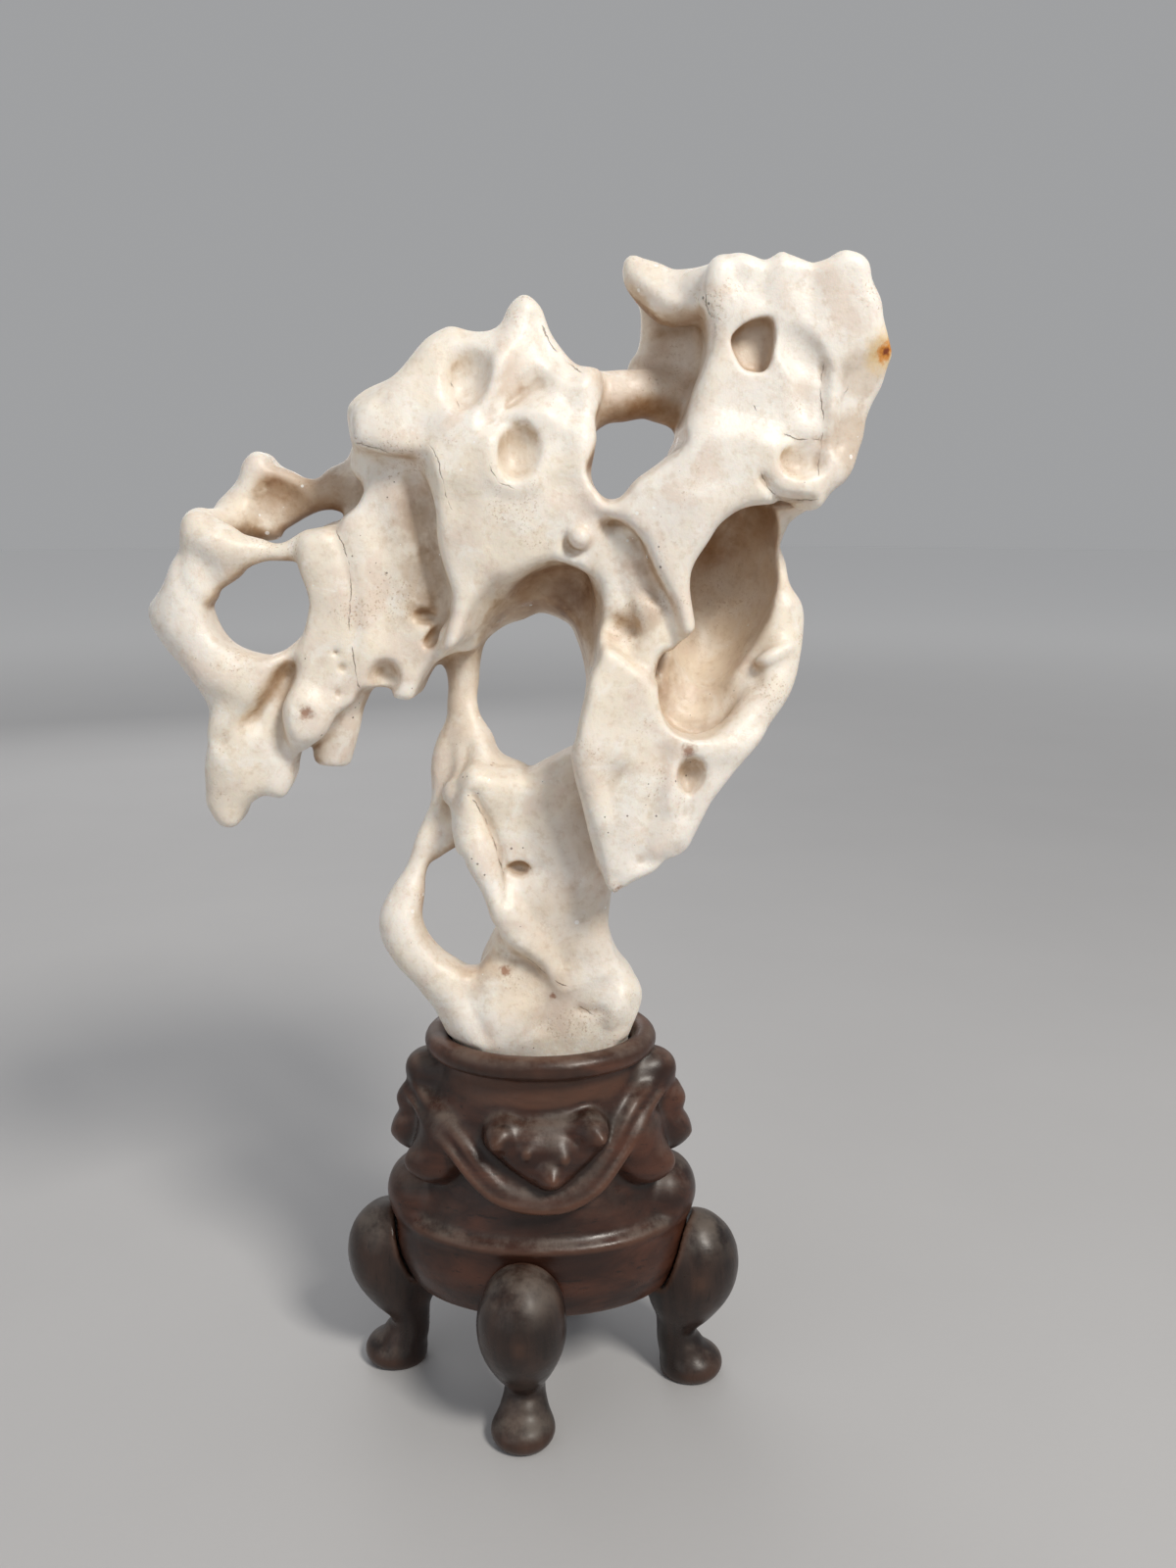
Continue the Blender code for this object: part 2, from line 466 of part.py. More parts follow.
def carve_right(clay):
    """The bowl, the boulder and what lies beside the fang."""
    clay.pebble((57, -30, 281), (15, 24, 18.5), (0, 10, 0), soft=2, carve=True)
    clay.pebble((65, -12, 310), (17, 25, 36), (0, 12, 0), soft=3, carve=True)
    clay.pebble((36, -21, 326), (6, 6, 7), soft=4)
    clay.plate([(33, 307), (42, 308), (51, 300), (51, 295), (43, 288), (41, 282), (37, 282), (34,
                292)],
               front=-33, back=-20, edge=4, soft=4)
    clay.limb([(76, -21, 285, 1.5), (81, -22, 288, 2.5), (87, -20, 291, 2)], soft=2)
    clay.pebble((74, -24, 282), (4, 6, 5), soft=2.5, carve=True)
    clay.score([(34, 326), (37, 316), (42, 305), (46, 296)], 6, 2.2, sharp=1.3)
    clay.score([(26, 331), (28, 318), (31, 307), (34, 297)], 8, 1.5, sharp=1.5)
    clay.pebble((29, -31, 298), (5.5, 5, 4), (0, 20, 0), soft=3, carve=True)
    clay.score([(44, 289), (42, 286), (41, 282)], 3, 2.5)
    clay.pebble((53, -36, 249), (5, 6.5, 5.6), (-25, 12, 0), soft=1.2, carve=True)
    clay.score([(52, 247), (52, 242), (51, 236)], 6, 2.0, sharp=1.5)
    clay.score([(44, 254), (41, 243), (38, 231), (37, 223)], 7, 1.6, sharp=1.5)
    clay.score([(47, 255), (46, 246), (46, 238)], 5, -1.2, sharp=1.5)
    clay.score([(36, 219), (42, 219), (48, 223)], 5, 2.2, sharp=1.5)
    clay.score([(28, 250), (26, 244), (26, 238)], 7, 1.4, sharp=1.5)
    clay.score([(27, 214), (29, 209)], 2.5, 1.0)


def carve_column(clay):
    """The column's groove, pit and hollows, and the folds of its foot."""
    clay.pebble((-7, -19, 212), (3.8, 5, 2.6), (0, -6, 0), soft=1, carve=True)
    clay.score([(-8, 210), (-4, 209), (1, 212)], 5.5, 1.8, sharp=1.3)
    clay.score([(-22, 239), (-19, 233), (-16, 226), (-13, 218), (-12, 208), (-11, 201)],
               2.6, 1.9)
    clay.score([(-6, 185), (1, 179), (5, 172), (6, 167)], 6, -1.4, sharp=1.5)
    clay.score([(-14, 176), (-6, 176), (0, 174)], 10, 2.4, sharp=1.6)
    clay.score([(10, 176), (5, 165), (1, 153)], 7, 1.6, sharp=1.5)
    clay.score([(9, 166), (15, 168), (23, 172), (32, 171)], 5, -0.9, sharp=1.5)
    clay.score([(15, 158), (19, 157), (23, 158)], 2.5, 1.0)
    clay.score([(26, 152), (28, 159), (31, 165)], 4, -1.2, sharp=1.5)
    clay.score([(-25, 253), (-26, 245), (-29, 237), (-33, 229)], 4.5, 1.8, sharp=1.4)
    clay.score([(-27, 167), (-24, 159), (-19, 149)], 6, 1.5, sharp=1.5)


def carve_head(clay):
    """The head's polygonal pit, hollows, ledges and flutes."""
    clay.plate(
        [(63, 390), (65, 393), (68, 395), (73, 396), (76, 395), (77, 389), (76, 383), (74, 380),
         (70, 380), (67, 381), (64, 386)],
        front=-50, back=-26, edge=2, soft=1, lean=(0.06, 0.06), carve=True)
    clay.pebble((85, -38, 386), (8, 7.5, 14), (0, -38, 16), soft=1.2, carve=True)
    clay.pebble((88, -38, 375), (7, 6.5, 14), (0, -8, 0), soft=2, carve=True)
    clay.pebble((87, -38, 353), (8.5, 6.5, 6.5), (0, 0, 0), soft=1.2, carve=True)
    clay.scoop((102, -31, 367), (0.55, -0.83, -0.05), 60, soft=2)
    clay.score([(100, 379), (99, 372), (99, 365), (98, 357)], 4.5, 1.8, sharp=1.5)
    clay.score([(93, 381), (93, 373), (93, 361), (92, 350)], 3, 1.2)
    clay.score([(82, 360), (88, 358), (93, 359)], 2.5, 0.9)
    clay.score([(74, 347), (77, 343), (82, 340), (90, 340)], 2.4, 2.4)
    clay.score([(62, 416), (65, 407)], 5, 0.9, sharp=1.5)
    clay.score([(74, 416), (73, 402)], 5, 0.8, sharp=1.5)
    clay.score([(89, 414), (88, 398)], 9, 1.5, sharp=1.5)
    clay.score([(35, 411), (41, 406), (45, 403), (52, 401)], 4, -1.0)


def carve_middle(clay):
    """The middle mass: its coin-shaped pit, the furrow beside the ridge, and the basin."""
    clay.pebble((-4, -38, 356), (7.8, 9.6, 10.6), (-16, 4, 16), soft=0.6, carve=True)
    clay.score([(-13, 362), (-14, 354), (-12, 346), (-5, 343), (2, 345)], 4, -0.8)
    clay.pebble((14, -35, 326), (5.2, 6.0, 5.8), soft=1.0, carve=True)
    clay.pebble((15, -32, 328), (3.7, 4.6, 3.7), soft=0.8)
    clay.pebble((-21, -31, 380), (8.5, 9, 12), (0, 16, 0), soft=2, carve=True)
    clay.score([(2, 377), (-4, 373), (-9, 368), (-13, 365)], 5.5, 3.6, sharp=1.0)
    clay.score([(1, 397), (3, 390), (6, 383)], 5, 1.8, sharp=1.5)
    clay.score([(12, 369), (10, 358), (8, 346)], 9, 1.2, sharp=1.5)
    clay.score([(-9, 340), (-12, 329), (-16, 315)], 12, 1.0, sharp=1.5)
    clay.pebble((-49, -31, 371), (3, 3, 3), soft=2, carve=True)
    clay.limb([(-56, -10, 352, 6), (-42, -14, 350, 6), (-31, -17, 349, 6)], soft=6)
    clay.limb([(-40, -24, 345, 4), (-37, -24, 338, 6.5), (-36, -24, 330, 5.5), (-34, -23, 321,
               4.5), (-32, -22, 311, 3.5), (-32, -21, 302, 3)], soft=3, carve=True)
    clay.pebble((-52, -23, 280), (5.2, 9, 7), soft=1.5, carve=True)
    clay.pebble((-36, -22, 301), (5, 6, 2.8), (0, 10, 0), soft=2, carve=True)
    clay.limb([(-32, -20, 300, 2), (-34, -19, 295, 2.5), (-36, -20, 292, 2)], soft=1, carve=True)
    clay.score([(-32, 355), (-30, 345), (-29, 335), (-30, 325), (-27, 314), (-27, 306)], 4, -1.0)


def carve_left(clay):
    """The ring's bevel and creases, and the fingers' folds."""
    clay.score([(-67, 329), (-64, 322), (-62, 313), (-61, 302), (-61, 293), (-64, 283), (-67,
                274)],
               3.5, 1.2)
    clay.score([(-51, 336), (-49, 318), (-51, 298)], 9, 1.2, sharp=1.5)
    clay.pebble((-97, -31, 305), (12.5, 12, 15.5), soft=1.5, carve=True)
    clay.score([(-84, 284), (-92, 273), (-102, 263), (-108, 258)], 6, 2.4, sharp=1.5)
    clay.score([(-86, 280), (-88, 268), (-89, 255)], 6, 2.0, sharp=1.5)
    clay.score([(-120, 321), (-119, 312), (-112, 304)], 5, 1.0, sharp=1.5)
    clay.score([(-81, 271), (-78, 270), (-76, 267)], 1.8, 0.9)
    for place in ((-68, -22, 289), (-66, -22, 284), (-68, -22, 275)):
        clay.pebble(place, (0.9, 1.9, 1.1), soft=0.8, carve=True)
    clay.pebble((-91, 1, 339), (9, 6, 9), soft=4, carve=True)


def add_back(clay):
    """Ridges that run down the back."""
    clay.limb([(104, 18, 398, 6), (92, 24, 376, 8), (76, 25, 346, 8), (58, 25, 318, 9), (52, 26, 286, 8),
               (60, 25, 256, 8), (50, 20, 228, 7)], soft=9)
    clay.limb([(-6, 12, 372, 3), (-7, 17, 362, 6), (-10, 20, 348, 7), (2, 19, 326, 7), (26, 20, 316, 6),
               (48, 23, 308, 7)], soft=8)
    clay.limb([(-70, 6, 330, 4), (-52, 9, 318, 6), (-42, 12, 296, 6), (-28, 14, 286, 6)], soft=7)
    clay.limb([(82, 20, 304, 5), (78, 25, 286, 6), (66, 26, 262, 6)], soft=7)
    clay.limb([(-14, 14, 166, 6), (-4, 18, 178, 7), (10, 18, 200, 7), (16, 16, 226, 6)], soft=8)


def carve_back(clay):
    """Facets that break the back's edges, and hollows between its ridges."""
    clay.scoop((116, 13, 392), (0.75, 0.62, 0.2), 42, soft=4)
    clay.scoop((88, 3, 412), (-0.05, 0.75, 0.66), 80, soft=5)
    clay.scoop((112, -4, 402), (0.9, 0.3, 0.3), 24, soft=4)
    clay.scoop((111, 6, 364), (0.93, 0.35, -0.1), 22, soft=4)
    clay.scoop((66, 2, 408), (-0.2, 0.3, 0.93), 20, soft=4)
    clay.scoop((93, 0, 409), (0.1, 0.1, 0.99), 17, soft=4)
    clay.scoop((56, 20, 396), (-0.25, 0.95, 0.15), 32, soft=4)
    clay.pebble((104, 43, 343), (46, 22, 17), (0, 14, 0), soft=6, carve=True)
    clay.scoop((97, 7, 303), (0.85, 0.52, 0.1), 26, soft=4)
    clay.scoop((87, 2, 264), (0.85, 0.4, -0.4), 24, soft=4)
    clay.scoop((66, 4, 242), (0.45, 0.6, -0.65), 30, soft=4)
    clay.scoop((58, 14, 232), (0.1, 0.85, -0.5), 44, soft=4)
    clay.scoop((24, 13, 264), (-0.7, 0.7, 0.0), 40, soft=4)
    clay.scoop((-46, 13, 352), (-0.2, 0.95, 0.25), 34, soft=4)
    clay.scoop((-8, 6, 386), (0.1, 0.8, 0.6), 36, soft=4)
    clay.scoop((-33, 6, 368), (-0.4, 0.5, 0.75), 22, soft=4)
    clay.scoop((10, 6, 374), (0.25, 0.65, 0.72), 13, soft=4)
    clay.scoop((-46, 10, 312), (-0.2, 0.95, -0.2), 46, soft=4)
    clay.scoop((4, 12, 160), (0.5, 0.85, 0.1), 40, soft=4)
    clay.pebble((70, 36, 394), (17, 15, 15), (0, 30, 0), soft=3, carve=True)
    clay.pebble((106, 34, 368), (12, 13, 19), (0, 16, 0), soft=3, carve=True)
    clay.pebble((34, 36, 340), (12, 13, 12), (0, -30, 0), soft=3, carve=True)
    clay.pebble((80, 38, 306), (9, 13, 13), (0, 30, 0), soft=3, carve=True)
    clay.pebble((42, 34, 262), (8, 10, 17), (0, -6, 0), soft=3, carve=True)
    clay.pebble((70, 35, 232), (9, 12, 12), (0, 40, 0), soft=3, carve=True)
    clay.pebble((-28, 29, 366), (14, 14, 12), (0, 36, 0), soft=3, carve=True)
    clay.pebble((-22, 30, 326), (11, 14, 16), (0, -14, 0), soft=3, carve=True)
    clay.pebble((14, 33, 352), (8, 14, 13), (0, -20, 0), soft=3, carve=True)
    clay.pebble((-64, 19, 302), (10, 12, 14), (0, 10, 0), soft=3, carve=True)
    clay.pebble((-4, 27, 196), (8, 13, 15), (0, 24, 0), soft=3, carve=True)
    clay.pebble((20, 26, 172), (10, 12, 15), (0, -14, 0), soft=3, carve=True)


def sculpt_stone(step):
    clay = Clay(STONE_LOW, STONE_HIGH, step)
    add_column(clay)
    add_handle(clay)
    add_right_body(clay)
    add_head(clay)
    add_hat(clay)
    add_left_panel(clay)
    add_ring(clay)
    add_back(clay)
    carve_cave(clay)
    carve_holes(clay)
    carve_right(clay)
    carve_column(clay)
    carve_head(clay)
    carve_middle(clay)
    carve_left(clay)
    carve_back(clay)
    clay.weather(24, 0.8, 5)
    clay.weather(10, 0.45, 8)
    return clay
# ---------------------------------------------------------------- the stand
BODY_WALL = [(0, DRUM_BOTTOM), (50.5, DRUM_BOTTOM), (53, 47), (55.5, 53), (56.8, 59), (56.6, 65),
             (55.6, 70), (53.5, 73.5), (51, 76), (49.5, 80), (47, 86), (43, 94), (40.5, 106), (38.5, 118),
             (36.5, 128), (35, 133), (0, 133)]
NECK = [(0, 118), (40, 118), (38, 126), (36.6, 131), (37, 135), (39, 141), (0, 141)]
# the two big leaves: their face, as (half width, height), and outline, as degrees and height
LEAF_WALL = [(0, 82), (49, 83), (52.3, 86.5), (54.2, 90), (53.4, 94), (51, 100), (48.8, 106), (46.8, 111),
             (44.8, 117), (42.8, 122), (40, 127.5), (37.5, 132), (36, 136), (0, 136)]
LEAF = [(-86, 120.5), (-74, 118), (-61, 114.6), (-47, 110.5), (-36, 105), (-28, 99), (-18, 92.5), (-8, 89),
        (2, 88), (12, 89), (23, 94.5), (31, 101), (40, 108), (48, 114), (58, 118.5), (74, 121.5), (88, 123),
        (80, 134), (50, 137), (0, 138), (-50, 137), (-80, 133)]
# the raised edge of a leaf: degrees round the stand, height and half width
LEAF_EDGE = [(-87, 121, 52), (-74, 118, 50.8), (-61, 114.6, 50.2), (-47, 110.8, 51.8), (-36, 105.2, 53.6),
             (-28, 99.5, 55.2), (-18, 93.2, 57.2), (-8, 90, 58), (2, 89, 58.3), (12, 90, 58),
             (23, 95, 56.8), (31, 101.3, 55), (40, 108.2, 52.8), (48, 114.2, 50.8), (58, 118.8, 49.2),
             (74, 121.8, 48.4), (88, 123.5, 49.5)]
# the lump on each leaf: degrees, height, half width and radius of its corners
LUMP = [(-18, 114.5, 46.5, 5.4), (1, 116, 45.5, 5.0), (25, 116.5, 45.5, 5.4), (17, 108.5, 48.5, 5.0),
        (4.5, 102.8, 51.5, 5.0), (-8, 108, 49, 5.4)]
LUMP_POINTS = [(-15, 114.8, 62), (23, 115.8, 61.5), (4.8, 103, 67), (-4, 111.5, 60.5), (9.5, 109.5, 61)]
LEAVES = (0, 180)  # degrees round the stand
# knobs between the leaves: degrees, then half width, height and radius from root to tip
KNOBS = [
    (56, 60, [(38, 104, 10.5), (45, 99.5, 10), (50.8, 98.6, 7), (56.2, 98.8, 2.2)]),
    (87, 87, [(40, 106, 11.5), (48, 104, 8.4), (55.8, 102.3, 2.2)]),
    (88, 88, [(41, 117, 7.5), (47.5, 116, 6), (50.5, 115.5, 4.4)]),
    (94, 91, [(38, 127, 8.5), (42.5, 128, 7.4), (44.5, 128, 6.4)]),
]


def on_oval(degrees, half_width, z, oval=OVAL):
    """A point on an oval round the stand's axis, the front at 0 degrees."""
    a = math.radians(degrees)
    return (half_width * math.sin(a), -half_width * oval * math.cos(a), z)


def add_leaf(clay, middle):
    """A hanging leaf with a raised edge, and a lump with five points on it."""
    clay.turned(LEAF_WALL, within=LEAF, middle=middle, soft=2)
    slope = [(*on_oval(middle + 3 + 0.9 * (d - 3), w - 4.4, z + 2.4), 2.2) for d, z, w in LEAF_EDGE]
    clay.limb(slope, soft=5, steps=2)
    clay.limb([(*on_oval(middle + d, w - 1.0, z), 1.5) for d, z, w in LEAF_EDGE], soft=2.5, steps=2)
    corners = [(*on_oval(middle + d, w, z), r) for d, z, w, r in LUMP]
    clay.limb(corners + corners[:1], soft=3, steps=2)
    clay.pebble(on_oval(middle + 4, 48.5, 110.5), (10, 6.5, 6.5), soft=3)
    for degrees, z, tip in LUMP_POINTS:
        root, point = on_oval(middle + degrees, tip - 14, z + 0.5), on_oval(middle + degrees, tip - 2, z)
        clay.limb([(*root, 7.0), (*point, 1.6)], soft=3)


def add_knobs(clay):
    """Pointed knobs between the leaves, alike at the front and back and on both sides."""
    for root, tip, path in KNOBS:
        for side in (-1, 1):
            for front in (True, False):
                points = []
                for step, (half_width, z, radius) in enumerate(path):
                    degrees = root + (tip - root) * step / (len(path) - 1)
                    degrees = side * (degrees if front else 180 - degrees)
                    points.append((*on_oval(degrees, half_width, z), radius))
                clay.limb(points, soft=3.5)


def sculpt_body(clay):
    """The stand's body: drum, shoulder, two leaves, knobs and a rolled rim round the socket."""
    clay.turned(BODY_WALL)
    clay.turned(NECK, oval=RIM_OVAL, soft=5)
    clay.limb([(*on_oval(a, 54.4, 71.5), 1.6) for a in range(0, 361, 15)], soft=3, steps=2)
    for side in (-1, 1):
        clay.pebble((side * 47, 0, 78), (13, 16, 14), soft=4)
        clay.pebble((side * 37, 0, 107), (11, 26, 16), soft=6)
    for middle in LEAVES:
        add_leaf(clay, middle)
    add_knobs(clay)
    rim = [(*on_oval(a, RIM_HALF_WIDTH, RIM_HEIGHT, RIM_OVAL), RIM_RADIUS) for a in range(0, 361, 15)]
    clay.limb(rim, soft=1.5, steps=2)
    clay.turned([(0, SOCKET_FLOOR), (SOCKET_HALF_WIDTH, SOCKET_FLOOR), (SOCKET_HALF_WIDTH, 160), (0, 160)],
                oval=RIM_OVAL, soft=1.5, carve=True)
    clay.shave((0, 0, DRUM_BOTTOM), (0, 0, -1), reach=120, soft=1.0)


# how far out from the knee's middle, height and radius
LEG_PATH = [(0.0, 56, 13.5), (0.5, 51, 16.2), (0.0, 44, 16), (-2.5, 35, 13), (-5.5, 27, 9.6),
            (-7.0, 20.5, 7.8), (-6.5, 14, 8.0), (-4.0, 8, 9.4), (-4.0, 0, 9.0)]
LEG_BACK = [(-8, 55, 13), (-10, 44, 11), (-10, 34, 8)]
# each knee's middle in x and y, and the degrees round the stand that the leg leans out to
LEGS = {
    "leg_front": ((-6, -44.5), -4.0),
    "leg_right": ((60.0, -4.5), 86.0),
    "leg_back": ((5.0, 44.5), 176.0),
    "leg_left": ((-60.5, 4.5), 266.0),
}


def sculpt_leg(clay, knee, angle):
    """A leg with a full knee, a narrow ankle and a round foot; it leans out along angle."""
    a = math.radians(angle)
    out = (math.sin(a), -math.cos(a))
    for path, soft in ((LEG_PATH, 1.5), (LEG_BACK, 4)):
        clay.limb([(knee[0] + u * out[0], knee[1] + u * out[1], z, r) for u, z, r in path], soft=soft)
    clay.pebble((knee[0] - 0.5 * out[0], knee[1] - 0.5 * out[1], 4.5), (12, 12, 7.5), soft=2.5)
    clay.shave((0, 0, 0), (0, 0, -1), reach=140, soft=0.8)


# ---------------------------------------------------------------- pieces
def new_material(name, colour, roughness):
    material = bpy.data.materials.new(name)
    material.use_nodes = True
    surface = material.node_tree.nodes["Principled BSDF"]
    surface.inputs["Base Color"].default_value = (*colour, 1)
    surface.inputs["Roughness"].default_value = roughness
    surface.inputs["Metallic"].default_value = 0.0
    return material


def new_piece(name, mesh, triangles, finish, collection):
    """An object with the mesh, brought down to about this many triangles."""
    piece = bpy.data.objects.new(name, mesh)
    collection.objects.link(piece)
    mesh.materials.append(new_material(name + "_finish", *finish))
    mesh.shade_smooth()
    bm = bmesh.new()
    bm.from_mesh(mesh)
    bmesh.ops.triangulate(bm, faces=bm.faces)
    count = len(bm.faces)
    bm.to_mesh(mesh)
    bm.free()
    fewer = piece.modifiers.new("fewer faces", "DECIMATE")
    fewer.ratio = min(1.0, triangles / count)
    return piece


def fit_socket(stone):
    """Trims the stone's foot to stand inside the stand's socket."""
    stand = Clay(SOCKET_LOW, SOCKET_HIGH, stone.step)
    sculpt_body(stand)
    stone.keep_clear(stand, GAP)
    wall, beyond = SOCKET_HALF_WIDTH - GAP, 2 * SOCKET_HALF_WIDTH
    low, high = STONE_LOW[2], RIM_HEIGHT - RIM_RADIUS
    outside = [(wall, low), (wall, high), (beyond, high), (beyond, low)]
    stone.turned(outside, soft=1.0, oval=RIM_OVAL, carve=True)
    stone.shave((0, 0, STONE_FOOT), (0, 0, -1), reach=beyond, soft=1.0)


def main():
    for old in list(bpy.data.objects):
        bpy.data.objects.remove(old)
    collection = bpy.data.collections.new("scholars rock")
    bpy.context.scene.collection.children.link(collection)

    stone = sculpt_stone(STONE_STEP)
    stone.soften(1)
    fit_socket(stone)
    new_piece("stone", stone.mesh("stone"), STONE_TRIANGLES, MARBLE, collection)

    body = Clay(STAND_LOW, STAND_HIGH, STAND_STEP)
    sculpt_body(body)
    new_piece("stand_body", body.mesh("stand_body"), BODY_TRIANGLES, HARDWOOD, collection)
    for name, (knee, angle) in LEGS.items():
        leg = Clay(STAND_LOW, STAND_HIGH, STAND_STEP)
        sculpt_leg(leg, knee, angle)
        leg.keep_clear(body, GAP)
        new_piece(name, leg.mesh(name), LEG_TRIANGLES, LEG_WOOD, collection)


main()
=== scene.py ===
"""The looks of a scholar's rock on its carved stand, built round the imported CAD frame.

The stone and the stand are sculpted again as in the CAD part, on a finer grid, with
the weathering and the cavity shading that the coarse solids leave out. Lengths in
the sculpture are millimetres from the stand's axis at floor level: x to the right,
y to the back, z up.
"""

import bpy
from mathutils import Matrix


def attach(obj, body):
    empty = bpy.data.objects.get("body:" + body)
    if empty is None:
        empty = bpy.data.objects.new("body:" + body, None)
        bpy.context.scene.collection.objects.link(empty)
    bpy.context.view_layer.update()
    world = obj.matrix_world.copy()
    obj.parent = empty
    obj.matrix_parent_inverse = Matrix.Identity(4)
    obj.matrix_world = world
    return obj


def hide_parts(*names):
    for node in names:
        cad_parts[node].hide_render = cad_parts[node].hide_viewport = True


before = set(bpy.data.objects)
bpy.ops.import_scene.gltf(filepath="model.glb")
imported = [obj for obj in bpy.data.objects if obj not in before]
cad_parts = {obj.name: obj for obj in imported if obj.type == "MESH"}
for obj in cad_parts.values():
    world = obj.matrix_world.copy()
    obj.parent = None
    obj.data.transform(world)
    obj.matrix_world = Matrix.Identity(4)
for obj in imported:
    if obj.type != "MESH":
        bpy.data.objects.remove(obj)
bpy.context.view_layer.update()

import copy
import math

import bmesh
import bpy
import numpy as np
import openvdb
from mathutils import Euler, Vector

MM = 0.001

# ---------------------------------------------------------------- dimensions
STONE_STEP = 1.0  # mm between the samples of the stone's field
STONE_LOW = (-144.0, -56.0, 118.0)
STONE_HIGH = (128.0, 52.0, 428.0)
STONE_TRIANGLES = 190000
STONE_FOOT = 124.6  # height of the flat the stone stands on
WEATHERING = ((24, 0.8, 5), (10, 0.45, 8))  # wavelength and depth of its unevenness, and the seed
SOCKET_LOW = (-60.0, -50.0, 118.0)  # the part of the stone's grid that the stand reaches
SOCKET_HIGH = (60.0, 50.0, 150.0)

STAND_STEP = 0.9
STAND_LOW = (-86.0, -72.0, -6.0)
STAND_HIGH = (86.0, 72.0, 152.0)
BODY_TRIANGLES = 180000
LEG_TRIANGLES = 40000
OVAL = 0.67  # depth of the stand for each mm of width
RIM_OVAL = 0.77  # the same for its rim
RIM_HALF_WIDTH = 39.3  # to the middle of the rolled rim
RIM_HEIGHT = 140.6
RIM_RADIUS = 4.6
SOCKET_HALF_WIDTH = 34.5
SOCKET_FLOOR = 123.8
DRUM_BOTTOM = 42.5
GAP = 0.8  # between neighbouring pieces

SCORED = (-60.0, 0.0)  # grooves are pressed into what lies between these y
SCORE_FADE = 4.0  # mm from those two y over which a groove grows to its depth
DEGREE = 0.85  # mm, about what a degree round the stand's leaves takes up
FAR = 50.0  # mm, a field's value where nothing is near
TINY = 1e-9  # keeps divisions from zero

# the stand's axis stands beside the origin, so that the whole object is centred on it
ORIGIN = (-9.0, 0.0, 0.0)

CAMERA_PLACE = (0.027, -0.472, 0.3415)
CAMERA_PITCH = 12.3  # degrees below the horizon
CAMERA_LENS = 30.4  # mm
FRAME_HEIGHT = 36  # mm of film behind the lens, over the picture's height

# ---------------------------------------------------------------- the clay
def smooth_path(points, steps=4, closed=False):
    """Points along a Catmull-Rom curve through the given points, all columns alike."""
    p = np.asarray(points, float)
    if closed:
        p = np.vstack([p[-1], p, p[0], p[1]])
    else:
        p = np.vstack([2 * p[0] - p[1], p, 2 * p[-1] - p[-2]])
    t = np.linspace(0, 1, steps, endpoint=False)[:, None]
    spans = [
        0.5 * (2 * b + (c - a) * t + (2 * a - 5 * b + 4 * c - d) * t**2 + (3 * b - a - 3 * c + d) * t**3)
        for a, b, c, d in zip(p, p[1:], p[2:], p[3:])
    ]
    return np.vstack(spans if closed else spans + [p[-2]])


def gap_squared(x, z, a, b):
    """Squared distance from each (x, z) to the stretch from point a to point b."""
    ex, ez = b[0] - a[0], b[1] - a[1]
    share = np.clip(((x - a[0]) * ex + (z - a[1]) * ez) / (ex * ex + ez * ez + TINY), 0, 1)
    return (x - a[0] - share * ex) ** 2 + (z - a[1] - share * ez) ** 2


def outline_distance(outline, x, z):
    """Distance from each (x, z) to a closed outline, negative inside it."""
    nearest = np.full(np.broadcast(x, z).shape, np.inf, np.float32)
    inside = np.zeros(nearest.shape, bool)
    for a, b in zip(outline, np.roll(outline, -1, axis=0)):
        nearest = np.minimum(nearest, gap_squared(x, z, a, b))
        if a[1] != b[1]:
            crossing = (b[0] - a[0]) * (z - a[1]) / (b[1] - a[1]) + a[0]
            inside ^= ((a[1] > z) != (b[1] > z)) & (x < crossing)
    return np.where(inside, -1, 1) * np.sqrt(nearest)


